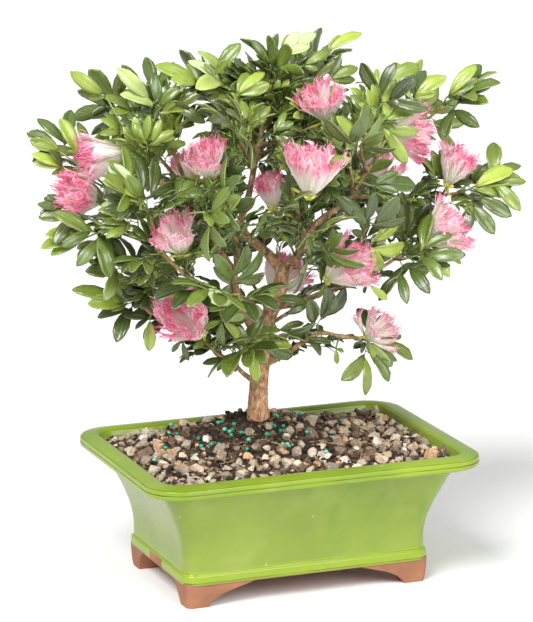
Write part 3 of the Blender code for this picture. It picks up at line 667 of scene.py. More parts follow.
def makeStonePatterns(count, seed, facets, nearest):  # broken stones, cut from spheres by flat planes
    draw = random.Random(seed)
    patterns = []
    for number in range(count):
        deselectAll()
        bpy.ops.mesh.primitive_ico_sphere_add(subdivisions=2, radius=0.62)
        stone = bpy.context.object
        flat = Vector((1, draw.uniform(0.62, 0.9), draw.uniform(0.48, 0.7)))
        editWhole(stone)
        bpy.ops.transform.resize(value=flat)
        for _ in range(facets):
            normal = Vector((draw.gauss(0, 1), draw.gauss(0, 1), draw.gauss(0, 0.9))).normalized()
            spread = Vector([normal[i] * flat[i] for i in range(3)]).length
            bpy.ops.mesh.select_all(action="SELECT")
            bpy.ops.mesh.bisect(plane_co=normal * spread * draw.uniform(nearest, 0.52), plane_no=normal,
                                use_fill=True, clear_outer=True)
        bpy.ops.mesh.select_all(action="SELECT")
        bpy.ops.mesh.remove_doubles(threshold=0.06)
        bpy.ops.mesh.dissolve_limited(angle_limit=math.radians(8))
        bpy.ops.mesh.quads_convert_to_tris()
        bpy.ops.transform.vertex_random(offset=0.045, seed=number)
        bpy.ops.mesh.normals_make_consistent(inside=False)
        bpy.ops.object.mode_set(mode="OBJECT")
        patterns.append(patternOf(stone))
    return patterns


stones = {
    # How many, least and greatest length in mm
    "sizes": ((14, 9.5, 13.0), (180, 5.6, 9.2), (210, 3.0, 5.4), (240, 1.5, 3.0)),
    "broken": (12, 21, 15, 0.26),   # patterns, seed, facets, nearest facet
    "worn": (3, 35, 6, 0.42),
    "brokenShare": 0.9,
    "seed": 11,
    "tries": 40,
    "clearOfTrunk": 15 * mm,
    "bareReach": 58 * mm,
    "crowding": 0.42,
}


def freePlace(draw, margin):  # a place on the soil, inside the pot's wall
    halves = (rimLength / 2 - soilShape["inset"], rimWidth / 2 - soilShape["inset"])
    x, y = [draw.uniform(-1, 1) * (half - margin) for half in halves]
    cornerX, cornerY = [abs(v) - (half - soilShape["corner"]) for v, half in zip((x, y), halves)]
    if cornerX > 0 and cornerY > 0 and math.hypot(cornerX, cornerY) > soilShape["corner"] - margin:
        return None
    return potMiddle.x + x, potMiddle.y + y


def turned(*turns):  # angle and axis, one after the other
    matrix = Matrix.Identity(4)
    for angle, axis in turns:
        matrix = matrix @ Matrix.Rotation(angle, 4, axis)
    return matrix


def makeGravel():
    draw = random.Random(stones["seed"])
    broken = makeStonePatterns(*stones["broken"])
    worn = makeStonePatterns(*stones["worn"])
    middle = soilShape["trunkAt"]
    clear, bareReach = stones["clearOfTrunk"], stones["bareReach"]
    placed = []
    copies = []
    for count, least, most in stones["sizes"]:
        made = 0
        for _ in range(count * stones["tries"]):
            if made == count:
                break
            size = draw.uniform(least, most) * mm
            place = freePlace(draw, size * 0.5 - 0.5 * mm)
            if not place:
                continue
            x, y = place
            away = math.hypot((x - middle.x + 6 * mm) * 0.75, y - middle.y)
            chance = min(1.0, max(0.05, (away - clear) / bareReach))
            chance *= min(1.0, max(0.25, 0.85 + 1.1 * noise.noise(Vector((x, y, 0.4)) * 34)))
            if away < clear or draw.random() > chance:
                continue
            if any(math.hypot(x - px, y - py) < (size + ps) * stones["crowding"] for px, py, ps in placed):
                continue
            placed.append((x, y, size))
            made += 1
            pattern = draw.choice(broken if draw.random() < stones["brokenShare"] else worn)
            turn = turned((draw.uniform(0, 2 * math.pi), "Z"), (draw.uniform(-0.6, 0.6), "X"),
                          (draw.uniform(-0.6, 0.6), "Y"))
            lift = soilSurface(x, y) + size * draw.uniform(0.10, 0.26)
            broad, tall = size * draw.uniform(0.85, 1.1), size * draw.uniform(0.85, 1.2)
            at = Matrix.Translation((x, y, lift)) @ turn @ Matrix.Diagonal((size, broad, tall, 1))
            copies.append(copyOf(pattern, at, tone=draw.random()))
    gravel = pieceFrom(copies, ("tone",))
    return finishPiece(gravel, "gravelStones", (stoneMaterial,), ("gravel",), 14)


chips = {"patterns": 5, "count": 1600, "length": (1.8, 6.6), "straws": 46, "strawLength": (8, 19), "seed": 5,
         "clearOfTrunk": 7.5 * mm}


def makeChips():  # bits of bark and fibre in the potting mix
    draw = random.Random(chips["seed"])
    patterns = []
    for index in range(chips["patterns"]):
        deselectAll()
        bpy.ops.mesh.primitive_cube_add(size=1)
        chip = bpy.context.object
        chip.scale = (1, draw.uniform(0.22, 0.55), draw.uniform(0.16, 0.34))
        applyAll(chip)
        editWhole(chip)
        bpy.ops.mesh.subdivide(number_cuts=1)
        bpy.ops.transform.vertex_random(offset=0.10, seed=index + 3)
        bpy.ops.mesh.vertices_smooth(factor=0.35)
        bpy.ops.object.mode_set(mode="OBJECT")
        patterns.append(patternOf(chip))
    copies = []
    least, most = chips["length"]
    middle = soilShape["trunkAt"]
    while len(copies) < chips["count"]:
        place = freePlace(draw, 1.0 * mm)
        if not place or math.hypot(place[0] - middle.x, place[1] - middle.y) < chips["clearOfTrunk"]:
            continue
        size = (least + (most - least) * draw.random() ** 2.2) * mm
        spin = turned((draw.uniform(0, 6.28), "Z"), (draw.gauss(0, 0.4), "Y"),
                      (draw.uniform(-0.7, 0.7), "X"))
        at = Matrix.Translation((*place, soilSurface(*place) + size * draw.uniform(0.02, 0.2)))
        tone = draw.random() ** 1.5
        copies.append(copyOf(draw.choice(patterns), at @ spin @ Matrix.Scale(size, 4), tone=tone))
    made = 0
    while made < chips["straws"]:
        place = freePlace(draw, 10 * mm)
        if not place:
            continue
        made += 1
        ahead = Matrix.Rotation(draw.uniform(0, 2 * math.pi), 3, "Z") @ Vector((1, 0, 0))
        long = draw.uniform(*chips["strawLength"]) * mm
        points = []
        for step in range(6):
            along = (step / 5 - 0.5) * long
            curl = 0.08 * long * math.sin(step * 0.9 + made)
            point = Vector((*place, 0)) + ahead * along + ahead.cross(up) * curl
            lift = (1.5 + step * 0.3) * mm
            points.append(Vector((point.x, point.y, soilSurface(point.x, point.y) + lift)))
        radii = [draw.uniform(0.22, 0.42) * mm for _ in points]
        copies.append(sweep(points, radii, 5, tone=draw.uniform(0.8, 1.0)))
    return finishPiece(pieceFrom(copies, ("tone",)), "soilChips", (soilMaterial,), (), 40)


prills = {"count": 50, "size": 2.9 * mm, "seed": 23, "near": 11 * mm, "far": 82 * mm, "inset": 21 * mm}


def makePrills(ground):  # grains of feed on the soil round the trunk
    draw = random.Random(prills["seed"])
    deselectAll()
    bpy.ops.mesh.primitive_uv_sphere_add(segments=12, ring_count=8, radius=0.5)
    bead = bpy.context.object
    editWhole(bead)
    bpy.ops.transform.vertex_random(offset=0.02, seed=4)
    bpy.ops.transform.resize(value=(1, 0.95, 0.88))
    bpy.ops.object.mode_set(mode="OBJECT")
    pattern = patternOf(bead)
    copies = []
    middle = soilShape["trunkAt"]
    tops = [BVHTree.FromObject(obj, bpy.context.evaluated_depsgraph_get()) for obj in ground]
    while len(copies) < prills["count"]:
        angle = draw.uniform(0, 2 * math.pi)
        away = prills["near"] + (prills["far"] - prills["near"]) * draw.random() ** 1.3
        x = middle.x - 6 * mm + away * math.cos(angle)
        y = middle.y - 10 * mm + away * math.sin(angle) * 0.7
        outside = abs(x - potMiddle.x) > rimLength / 2 - prills["inset"]
        outside = outside or abs(y - potMiddle.y) > rimWidth / 2 - prills["inset"]
        if outside or math.hypot(x - middle.x, y - middle.y) < prills["near"]:
            continue
        hits = [tree.ray_cast(Vector((x, y, potHigh.z + 40 * mm)), -up)[0] for tree in tops]
        size = prills["size"] * draw.uniform(0.85, 1.1)
        at = Matrix.Translation((x, y, max(hit.z for hit in hits if hit) + size * 0.34))
        copies.append(copyOf(pattern, at @ Matrix.Scale(size, 4), tone=draw.random()))
    finishPiece(pieceFrom(copies, ("tone",)), "feedPrills", (makeSurface("feedGrain"),))


# Limbs, point by point: pixel across, pixel down, mm behind the pot's middle line, radius in mm
limbs = {
    "trunk": ((258, 400, 20, 6.4), (259, 382, 20, 5.9), (260, 366, 20, 6.0), (262, 348, 19, 5.6),
              (265, 326, 18, 5.2), (273, 306, 17, 4.9), (280, 288, 16, 4.8), (283, 270, 15, 4.4)),
    "left_stem": ((262, 350, 19, 4.0), (252, 326, 10, 3.5), (243, 309, 4, 3.1), (236, 292, 0, 2.9),
                  (233, 273, -4, 2.8), (226, 260, -6, 2.4), (216, 243, -8, 2.0), (205, 222, -12, 1.6)),
    "left_stem_fork": ((234, 276, -3, 1.8), (240, 264, -10, 1.4), (247, 252, -18, 1.1)),
    "up_left": ((283, 272, 15, 4.0), (272, 258, 20, 3.4), (258, 245, 26, 3.1), (246, 235, 30, 2.9),
                (238, 226, 32, 2.6), (222, 217, 38, 2.2), (206, 209, 42, 1.9), (190, 196, 46, 1.5),
                (172, 182, 48, 1.2)),
    "leader": ((240, 228, 32, 2.6), (243, 212, 28, 2.4), (249, 194, 24, 2.2), (254, 168, 20, 2.0),
               (258, 150, 18, 1.8), (262, 128, 16, 1.5), (266, 108, 16, 1.3), (271, 84, 16, 1.0)),
    "right": ((283, 272, 15, 4.0), (294, 260, 10, 3.2), (302, 250, 6, 2.9), (305, 238, 4, 2.6),
              (316, 224, 2, 2.4), (338, 207, 0, 2.1), (352, 194, 0, 1.8), (366, 172, 2, 1.5),
              (378, 155, 4, 1.3)),
    "right_mid": ((279, 306, 17, 2.5), (294, 304, 4, 2.1), (312, 297, -8, 1.9), (326, 291, -14, 1.6),
                  (350, 285, -14, 1.4), (378, 270, -8, 1.2), (402, 254, -4, 1.0), (420, 244, -2, 0.9)),
    "right_low": ((265, 364, 20, 2.5), (280, 357, 14, 2.1), (292, 350, 8, 1.9), (303, 342, 4, 1.7),
                  (321, 333, 0, 1.5), (340, 336, -4, 1.3), (358, 338, -6, 1.0)),
    "left_low": ((258, 384, 20, 2.0), (243, 373, 12, 1.7), (232, 362, 6, 1.5), (217, 353, 2, 1.3),
                 (206, 343, -2, 1.0)),
    "left_mid": ((244, 311, 4, 2.3), (222, 303, -14, 1.8), (204, 292, -26, 1.5), (182, 272, -34, 1.3),
                 (164, 254, -38, 1.2), (156, 235, -40, 1.0), (150, 214, -42, 0.9)),
    "left_out": ((164, 255, -38, 1.2), (140, 240, -30, 1.0), (110, 230, -20, 0.9)),
    "left_down": ((204, 292, -26, 1.3), (176, 290, -6, 1.1), (158, 296, 8, 0.9)),
    "left_inner": ((205, 223, -12, 1.3), (208, 204, -26, 1.1), (210, 190, -34, 0.9)),
    "left_top": ((206, 225, -12, 1.8), (186, 202, -10, 1.4), (162, 182, -6, 1.2), (140, 162, -2, 0.9)),
    "left_high": ((162, 183, -6, 1.2), (138, 188, 4, 1.0), (116, 194, 8, 0.9)),
    "upper_left": ((192, 198, 46, 1.6), (180, 168, 54, 1.3), (170, 142, 56, 1.1), (162, 120, 56, 0.9)),
    "top_left": ((258, 152, 18, 1.6), (242, 126, 30, 1.2), (228, 104, 42, 0.9)),
    "top_right": ((262, 130, 16, 1.4), (284, 108, 30, 1.1), (306, 92, 42, 0.9)),
    "top_front": ((259, 146, 17, 1.5), (290, 136, 0, 1.1), (312, 127, -9, 0.9)),
    "right_up": ((377, 157, 4, 1.4), (396, 142, 24, 1.1), (425, 121, 34, 0.9), (445, 105, 34, 0.9)),
    "right_out": ((351, 196, 0, 1.7), (382, 198, 16, 1.2), (412, 202, 22, 1.1), (438, 196, 22, 1.0),
                  (458, 193, 17, 0.9)),
    "right_front": ((367, 172, 2, 1.4), (361, 152, -16, 1.1), (366, 132, -26, 0.9)),
    "right_shelf": ((352, 194, 0, 1.5), (352, 180, -28, 1.1), (350, 166, -46, 0.9)),
    "front_mid": ((305, 240, 4, 2.2), (300, 222, -18, 1.6), (296, 204, -36, 1.2), (292, 188, -48, 0.9)),
    "front_low": ((298, 256, 8, 1.8), (302, 250, -16, 1.3), (308, 246, -38, 0.9)),
    "front_high": ((254, 170, 20, 1.7), (246, 152, -10, 1.3), (240, 142, -44, 1.0)),
    "front_left": ((234, 276, -3, 1.9), (238, 250, -28, 1.5), (232, 226, -54, 1.0)),
    "back_left": ((236, 226, 32, 2.2), (226, 214, 62, 1.6), (212, 190, 88, 1.1)),
    "back_left_high": ((190, 196, 46, 1.3), (170, 170, 62, 1.1), (158, 156, 70, 0.9)),
    "back_right": ((306, 238, 4, 2.4), (322, 232, 34, 1.8), (340, 214, 66, 1.3), (352, 190, 86, 1.0)),
    "back_far_right": ((340, 214, 66, 1.2), (358, 218, 80, 0.9)),
    "back_middle": ((322, 232, 34, 1.6), (304, 222, 66, 1.2), (288, 206, 88, 0.9)),
    "back_high": ((256, 160, 20, 1.8), (270, 150, 50, 1.3), (284, 128, 74, 0.9)),
    "back_low": ((264, 338, 18, 2.8), (270, 324, 46, 1.9), (262, 300, 76, 1.3), (250, 280, 94, 1.0)),
    "back_low_left": ((263, 303, 72, 1.3), (232, 296, 82, 1.1), (206, 286, 84, 0.9)),
    "back_low_right": ((270, 324, 46, 1.6), (300, 306, 58, 1.2), (332, 288, 62, 0.9)),
}


wood = {
    "footRadius": 7.2 * mm,
    "soilTop": 94 * mm,
    "thick": 1.45 * mm,         # limbs this thick at their foot are blended into the trunk
    "thinFrom": 1.3 * mm,       # where a blended limb goes over into a thin one
    "voxel": 0.78 * mm,
    "barkDepth": 0.95 * mm,
    "thinBarkDepth": 0.2 * mm,
    "furrows": 420,
    "stretch": 0.72,            # how much the furrows are drawn out along a limb
}


def limbLine(name):
    return [seen(*entry[:3]) for entry in limbs[name]], [entry[3] * mm for entry in limbs[name]]


def fineLimb(name, steps):  # the limb on a round curve, with its swellings
    points, radii = limbLine(name)
    if name == "trunk":
        foot = soilShape["trunkAt"]
        points = [foot, Vector((foot.x, foot.y, wood["soilTop"]))] + points
        radii = [wood["footRadius"]] * 2 + radii
    wide = smoothLine([Vector((r, 0, 0)) for r in radii], steps)
    return smoothLine(points, steps), [max(w.x, 0.6 * mm) for w in wide]


def makeBarkMaterial():
    material, tree, shader = newMaterial("flakingBark", (0.42, 0.27, 0.17), 0.85)
    girth = pieceValue(tree, "girth")
    furrow = pieceValue(tree, "furrow")
    age = ramp(tree, girth, ((0.0, (0.28, 0.235, 0.045)), (0.16, (0.34, 0.215, 0.07)),
                             (0.34, (0.40, 0.225, 0.10)), (0.75, (0.57, 0.30, 0.15)),
                             (1.0, (0.62, 0.305, 0.145))))
    upright = addNode(tree, "Mapping", {"Vector": objectPlace(tree), "Scale": (1.0, 1.0, 0.4)})["Vector"]
    scales = noiseOn(tree, upright, 560.0, 6.0, 0.75)
    old = reach(tree, girth, 0.12, 0.5, 0.3, 1.0)
    colour = mottled(tree, age, 240.0, 0.5)
    # Darker where the furrows press the bark in and in the dips of the scales: painted shade in the cracks.
    # Paler where the bark stands out.
    for share, shade in (
            (reach(tree, furrow, 0.38, 0.16), (0.16, 0.085, 0.05)),
            (reach(tree, furrow, 0.60, 0.78, 0.0, 0.75), (0.76, 0.58, 0.42)),
            (times(tree, old, reach(tree, scales, 0.47, 0.36, 0.0, 0.85)), (0.17, 0.085, 0.05)),
            (times(tree, old, reach(tree, scales, 0.54, 0.64, 0.0, 0.8)), (0.84, 0.67, 0.50))):
        colour = mixColour(tree, share, colour, shade)
    tree.links.new(colour, shader["Base Color"])
    grain = {"Normal": grained(tree, 850.0, 0.5, 0.5 * mm)}
    tree.links.new(bumpOf(tree, scales, 0.9, 0.6 * mm, grain), shader["Normal"])
    return material


def dressBark(obj, samples, depth):  # furrows drawn out along each limb, and how thick the limb is there
    tree = pointTree(point for point, _, _ in samples)
    girths = []
    furrows = []
    moved = []
    for point, normal in [(v.co.copy(), v.normal.copy()) for v in obj.data.vertices]:
        _, along, radius = samples[tree.find(point)[1]]
        place = point - along * point.dot(along) * wood["stretch"]
        coarse = noise.fractal(place * wood["furrows"], 0.7, 2.1, 3)
        level = 0.5 + 0.5 * coarse + 0.12 * noise.noise(point * 900)
        girths.append(min(1.0, radius / (6.5 * mm)))
        furrows.append(level)
        moved.extend(point + normal * min(depth, radius * 0.11) * (level - 0.75))
    obj.data.vertices.foreach_set("co", moved)
    setValues(obj.data, "girth", girths)
    setValues(obj.data, "furrow", furrows)


def pointTree(points):
    points = list(points)
    tree = KDTree(len(points))
    for index, point in enumerate(points):
        tree.insert(point, index)
    tree.balance()
    return tree


def makeTree():
    samples = []
    thick = []
    thin = []
    for name in limbs:
        line, radii = fineLimb(name, 6)
        samples += [(a, (b - a).normalized(), radius) for a, b, radius in zip(line, line[1:], radii)]
        if radii[0] < wood["thick"]:
            thin.append(sweep(line, radii, 9))
            continue
        cut = max(3, next((i for i, r in enumerate(radii) if r < wood["thinFrom"]), len(line)))
        thick.append(sweep(line[:cut + 1], radii[:cut + 1], 24 if name == "trunk" else 14))
        if cut < len(line) - 2:
            thin.append(sweep(line[cut - 2:], radii[cut - 2:], 9))
    trunk = pieceFrom(thick)
    blend = trunk.modifiers.new("blend", "REMESH")
    blend.mode = "VOXEL"
    blend.voxel_size = wood["voxel"]
    soften = trunk.modifiers.new("soften", "SMOOTH")
    soften.factor = 0.5
    soften.iterations = 6
    applyAll(trunk)
    branches = pieceFrom(thin)
    for obj, depth, name in ((trunk, wood["barkDepth"], "trunkWood"),
                             (branches, wood["thinBarkDepth"], "thinBranches")):
        dressBark(obj, samples, depth)
        finishPiece(obj, name, (barkMaterial,), ("trunk_and_branches",), 180)


# Blooms: pixel and depth of the green base, pixel and depth of the pink ends, half angle they fan by
blooms = {
    "far_left_high": ((128, 151, 2), (76, 162, 4), 27),
    "far_left_low": ((106, 199, 6), (62, 194, -6), 24),
    "left_centre": ((210, 178, -40), (207, 144, -54), 34),
    "left_inner": ((182, 253, -44), (170, 218, -52), 36),
    "lower_left": ((203, 335, -14), (176, 306, -32), 32),
    "top_centre": ((327, 121, -14), (321, 88, -24), 36),
    "front_centre": ((309, 198, -64), (314, 146, -72), 32),
    "right_high": ((387, 135, 2), (434, 134, -14), 46),
    "far_right_high": ((447, 186, 16), (466, 148, 10), 32),
    "far_right_low": ((424, 240, -8), (464, 218, -22), 44),
    "right_middle": ((326, 280, -24), (368, 254, -44), 32),
    "lower_right": ((366, 337, -10), (386, 318, -24), 46),
    "behind_leader": ((273, 209, -10), (266, 174, -14), 26),
    "back_left": ((196, 180, 90), (178, 154, 104), 34),
    "back_right": ((366, 186, 88), (384, 152, 102), 34),
    "back_low": ((272, 292, 86), (292, 262, 104), 34),
}

puff = {
    "seed": 7,                 # the solid's own draw, so that the tufts lie along its locks
    "fewestLocks": 8,
    "lengthPerLock": 2.7 * mm,
    "lockSpread": (0.85, 1.15),
    "lockReach": (0.94, 1.14),
    "goldenAngle": math.radians(137.5),
    "perLock": 12,
    "stations": (0.0, 0.26, 0.50, 0.69, 0.82, 0.92, 1.0),   # along a stamen
    "width": 0.17,             # half a lock's width at its end, as a share of its length
    "bulge": 1.35,             # how much wider than a straight cone the bloom is half way up
    "wave": 0.9 * mm,
    "ownWave": 1.5 * mm,
    "frill": 1.4 * mm,
    "roll": (-1.5 * mm, 4.5 * mm),   # how far a lock's end rolls out, or in
    "radius": 0.24 * mm,
    "sheet": 0.22 * mm,
    "columns": 5,
    "sheetEnd": 0.9,
    "cups": 11,
    "cup": ((0, 0.6), (1.6, 1.0), (3.4, 0.95), (5.0, 0.5)),   # mm out from its root, and radius there
    "faded": {"far_right_low": -0.16, "lower_right": -0.1, "left_inner": -0.05, "far_right_high": -0.06},
}


def makeFilamentMaterial():
    # The emission is a painted glow in the stamens' own colour, standing in for light that passes through
    # the thin stamens.
    material, tree, shader = newMaterial("silkyFilament", (0.9, 0.6, 0.65), 0.5, Subsurface_Weight=0.55,
                                         Subsurface_Radius=(1.0, 0.7, 0.7), Subsurface_Scale=2.5 * mm,
                                         Emission_Strength=0.07)
    outwards = pieceValue(tree, "outward")
    strand = addNode(tree, "CombineXYZ", {"X": pieceValue(tree, "strandX"),
                                          "Z": times(tree, outwards, 0.12)})
    streak = reach(tree, noiseOn(tree, strand["Vector"], 9.0, 4.0, 0.7), 0.32, 0.68, -0.3, 0.3)
    longer = maths(tree, "ADD", 1.0, times(tree, pieceValue(tree, "blush"), 0.36))
    late = times(tree, streak, maths(tree, "ADD", outwards, 0.35))
    place = reach(tree, maths(tree, "ADD", times(tree, outwards, longer), late), 0.0, 1.46)
    colour = ramp(tree, place, (
        (0.0, (0.58, 0.56, 0.10)), (0.08, (0.84, 0.78, 0.38)), (0.18, (0.93, 0.87, 0.70)),
        (0.42, (0.94, 0.83, 0.77)), (0.56, (0.93, 0.62, 0.65)), (0.66, (0.90, 0.28, 0.40)),
        (0.78, (0.78, 0.06, 0.20)), (1.0, (0.50, 0.01, 0.08))))
    soft = mottled(tree, colour, 420.0, 0.14)
    tree.links.new(soft, shader["Base Color"])
    tree.links.new(soft, shader["Emission Color"])   # painted glow: the stamens give off light of their own colour, standing in for light that comes through them
    return material


def bloomFrame(name):
    base, ends, spread = blooms[name]
    base = seen(*base)
    ends = seen(*ends)
    return base, (ends - base).normalized(), (ends - base).length, math.radians(spread)


def held(value):
    return min(1.0, max(0.0, value))


def lockPoint(lock, t, across, lift=0.0):  # a point at t along a lock of stamens, from -1 to 1 across it
    late = max(0.0, (t - 0.6) / 0.4)
    a, b, c, _ = lock["phase"]
    run, lean, bulge = lock["run"], lock["lean"], puff["bulge"]
    point = lock["base"] + lock["axis"] * math.cos(lean) * run * t
    point += lock["around"] * math.sin(lean) * run * t * (bulge - (bulge - 1) * t)
    width = puff["width"] * run * (0.1 + 0.9 * t ** 0.8)
    point += lock["side"] * (across * width + puff["wave"] * t * math.sin(3.2 * t + a))
    rise = puff["wave"] * t * math.sin(3.8 * t + b) + puff["frill"] * late * math.sin(4.2 * across + c)
    roll = lock["roll"] * late * late
    return point + lock["outer"] * (rise + lift - roll) - lock["axis"] * 0.5 * abs(roll)


def sheetCopy(lock, blush, draw):  # the stamens of a lock matted together
    columns = puff["columns"]
    wide = columns + 1
    ends = [puff["sheetEnd"] * draw.uniform(0.82, 1.08) for _ in range(wide)]
    seeds = [draw.uniform(0, 50) for _ in range(wide)]
    stations = puff["stations"]
    outward = [t * end for t in stations for end in ends]
    outer = [lockPoint(lock, t, 2 * (i % wide) / columns - 1) for i, t in enumerate(outward)]
    inner = [point - lock["outer"] * puff["sheet"] for point in outer]
    count = len(outer)
    faces = []
    for row in range(len(stations) - 1):
        a, b = row * wide, row * wide + columns
        for k in range(a, b):
            face = (k, k + 1, k + wide + 1, k + wide)
            faces += [face, tuple(count + i for i in reversed(face))]
        faces += [(a, a + wide, count + a + wide, count + a), (b + wide, b, count + b, count + b + wide)]
    top = count - wide
    for k in range(columns):
        faces += [(k + 1, k, count + k, count + k + 1),
                  (top + k, top + k + 1, count + top + k + 1, count + top + k)]
    corners = np.array(faces, np.int32).ravel()
    return {"points": np.array(outer + inner), "corners": corners,
            "starts": np.arange(0, len(corners), 4, dtype=np.int32), "slots": np.zeros(len(faces), np.int32),
            "values": {"outward": np.array(outward * 2), "blush": held(blush),
                       "strandX": np.array(seeds * len(stations) * 2)}}


def strandCopy(lock, across, lift, length, blush, draw):  # one stamen of the lock
    own = [draw.uniform(0, 2 * math.pi) for _ in range(3)]
    points = []
    for t in puff["stations"]:
        late = max(0.0, (t - 0.45) / 0.55)
        tangle = puff["ownWave"] * late
        point = lockPoint(lock, t * length, across, lift * (0.2 + t))
        points.append(point + lock["side"] * tangle * math.sin(7 * late + own[0])
                      + lock["outer"] * tangle * math.sin(6 * late + own[1])
                      + lock["axis"] * tangle * 0.6 * math.sin(8 * late + own[2]))
    radii = [puff["radius"] * (1.2 - 0.4 * t) for t in puff["stations"]]
    return sweep(points, radii, 3, outward=[t * length for t in puff["stations"]], blush=held(blush),
                 strandX=draw.uniform(0, 50))


def makeBloom(name, index):
    base, axis, length, spread = bloomFrame(name)
    lockDraw = random.Random(puff["seed"] + index)
    draw = random.Random(900 + index)
    side = axis.orthogonal().normalized()
    fade = puff["faded"].get(name, 0.0)
    copies = []
    count = max(puff["fewestLocks"], round(length / puff["lengthPerLock"]))
    for i in range(count * 2):  # a lock along each of the solid's, and another beside it
        extra = i % 2
        around = Matrix.Rotation(i // 2 * puff["goldenAngle"] + extra * 1.1, 3, axis) @ side
        if extra:
            lean = spread * math.sqrt(draw.random())
            run = solidReach * draw.uniform(0.85, 1.0)
        else:
            lean = spread * math.sqrt((i // 2 + 0.5) / count) * lockDraw.uniform(*puff["lockSpread"])
            run = solidReach = length * lockDraw.uniform(*puff["lockReach"])
        lock = {"base": base + around * 0.8 * mm, "axis": axis, "around": around, "side": axis.cross(around),
                "outer": around * math.cos(lean) - axis * math.sin(lean), "lean": lean, "run": run,
                "phase": [draw.uniform(0, 2 * math.pi) for _ in range(4)],
                "roll": draw.uniform(*puff["roll"])}
        blush = draw.uniform(0.0, 0.9) + fade
        copies.append(sheetCopy(lock, blush, draw))
        for _ in range(puff["perLock"]):
            copies.append(strandCopy(lock, draw.uniform(-1, 1), draw.uniform(-0.7, 1.0) * mm,
                                     draw.uniform(0.86, 1.04), blush + draw.gauss(0, 0.15), draw))
    for i in range(puff["cups"]):  # small green cups that the stamens grow from
        around = Matrix.Rotation(i * puff["goldenAngle"], 3, axis) @ side
        lean = 0.95 * math.sqrt((i + 0.5) / puff["cups"])
        outward = around * math.sin(lean) + axis * math.cos(lean)
        points = [base - axis * 1.2 * mm + outward * away * mm for away, _ in puff["cup"]]
        copies.append(sweep(points, [radius * mm for _, radius in puff["cup"]], 6, outward=0.0))
    copies.append(stalkCopy(twigStart(name, "bloom_", base), base, 0.95, 0.8, slot=1))
    bloom = pieceFrom(copies, ("outward", "blush", "strandX", "tone"))
    finishPiece(bloom, "bloom." + name, (filamentMaterial, twigMaterial), ("bloom_" + name,))


# Leafy shoots: pixel and depth of the twig's tip, and how many leaves the solid has on it
shoots = {
    "far_left": ((74, 157, 22), 2),
    "left_edge": ((92, 216, 0), 3),
    "left_down": ((128, 270, -10), 2),
    "left_low": ((146, 304, 16), 2),
    "lower_left": ((185, 318, 12), 2),
    "top_left_inner": ((236, 92, 22), 2),
    "top": ((272, 80, 14), 2),
    "right_spire": ((450, 101, 24), 2),
    "far_right": ((478, 184, 12), 2),
    "right_upright": ((404, 230, 12), 2),
    "right_arm": ((408, 258, -22), 2),
    "lower_right": ((366, 344, 8), 2),
    "lower_right_inner": ((318, 332, -16), 1),
    "low_front": ((262, 340, -26), 3),
    "stem_front": ((240, 294, -44), 2),
    "left_front": ((216, 288, -62), 2),
    "fork_front": ((314, 238, -54), 3),
    "middle_front": ((268, 222, -76), 3),
    "middle_left": ((222, 210, -78), 2),
    "left_bright": ((138, 198, -46), 2),
    "high_front": ((246, 138, -66), 2),
    "high_right_front": ((350, 152, -64), 2),
    "right_inner": ((362, 236, -36), 2),
    "right_tall": ((376, 112, -28), 2),
    "upper_left": ((122, 114, 44), 3),
    "upper_left_tall": ((158, 106, 62), 2),
    "top_left": ((206, 100, 52), 2),
    "top_right": ((314, 80, 50), 2),
    "right_high": ((408, 110, 52), 3),
    "back_left_high": ((150, 146, 76), 2),
    "back_left": ((190, 216, 92), 2),
    "back_middle": ((268, 190, 104), 2),
    "back_right": ((376, 224, 90), 2),
    "back_high": ((246, 114, 84), 2),
    "back_high_right": ((326, 148, 92), 3),
    "back_low": ((240, 268, 102), 2),
    "back_low_left": ((192, 280, 82), 2),
    "back_low_right": ((352, 272, 66), 2),
}

# How the solid's leaves stand on their twigs
leafRule = {
    "crownCentre": potMiddle + Vector((-2, 8, 205)) * mm,
    "crownRadii": Vector((155, 115, 130)) * mm,
    "length": (19.5 * mm, 25 * mm),
    "petiole": 6.5 * mm,
    "pinna": 5 * mm,
    "pinnaSpread": math.radians(40),
    "leafletSpread": math.radians(28),
    "addedSpread": math.radians(66),
    "spacing": 11 * mm,
    "tries": 30,
    "tightShare": 0.82,
    "roll": 14,
    "alongTwig": 0.6,
    "chance": 0.35,
    "levelling": Vector((1, 0.3, 0.7)),
    "rising": 0.2,
    "lowestSpread": -0.1,
    "faceOutward": 0.5,
    "faceSideways": (0.4, 0.8),
    "faceUp": (0.3, 0.9),
    "backHalf": potMiddle.y + 33 * mm,
    "swing": (50, 80),
    "arch": 0.09,
    "thickness": 1.2 * mm,
    "twigRadius": 1.0 * mm,
    "twigTries": 16,
    "climb": 1.5,
    "clearance": 0.3 * mm,
}


def twigStarts(tip):  # points just off the wood that a twig could grow from, the best first
    found = []
    for name in limbs:
        points, radii = limbLine(name)
        for i in range(len(points) - 1):
            along = points[i + 1] - points[i]
            share = max(0.0, min(1.0, (tip - points[i]).dot(along) / along.length_squared))
            at = points[i] + along * share
            far = (tip - at).length + leafRule["climb"] * max(0.0, at.z - tip.z)
            out = (tip - at).normalized()
            reachOut = radii[i] + (radii[i + 1] - radii[i]) * share + 1.5 * leafRule["clearance"]
            slant = out.dot(along.normalized())
            if share == 1 and i == len(points) - 2:
                overhang = leafRule["twigRadius"] * math.sqrt(max(0.0, 1 - slant * slant))
                reachOut = min(reachOut, (1.2 * leafRule["clearance"] + overhang) / max(slant, 0.01))
            found.append((far, at + out * reachOut, at))
    found.sort(key=lambda entry: entry[0])
    return [(start, at) for _, start, at in found[:leafRule["twigTries"]]]


@functools.cache
def nodeTree(node):  # the solid's own points, to tell which of the tries it took
    return pointTree(vertex.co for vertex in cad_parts[node].data.vertices)


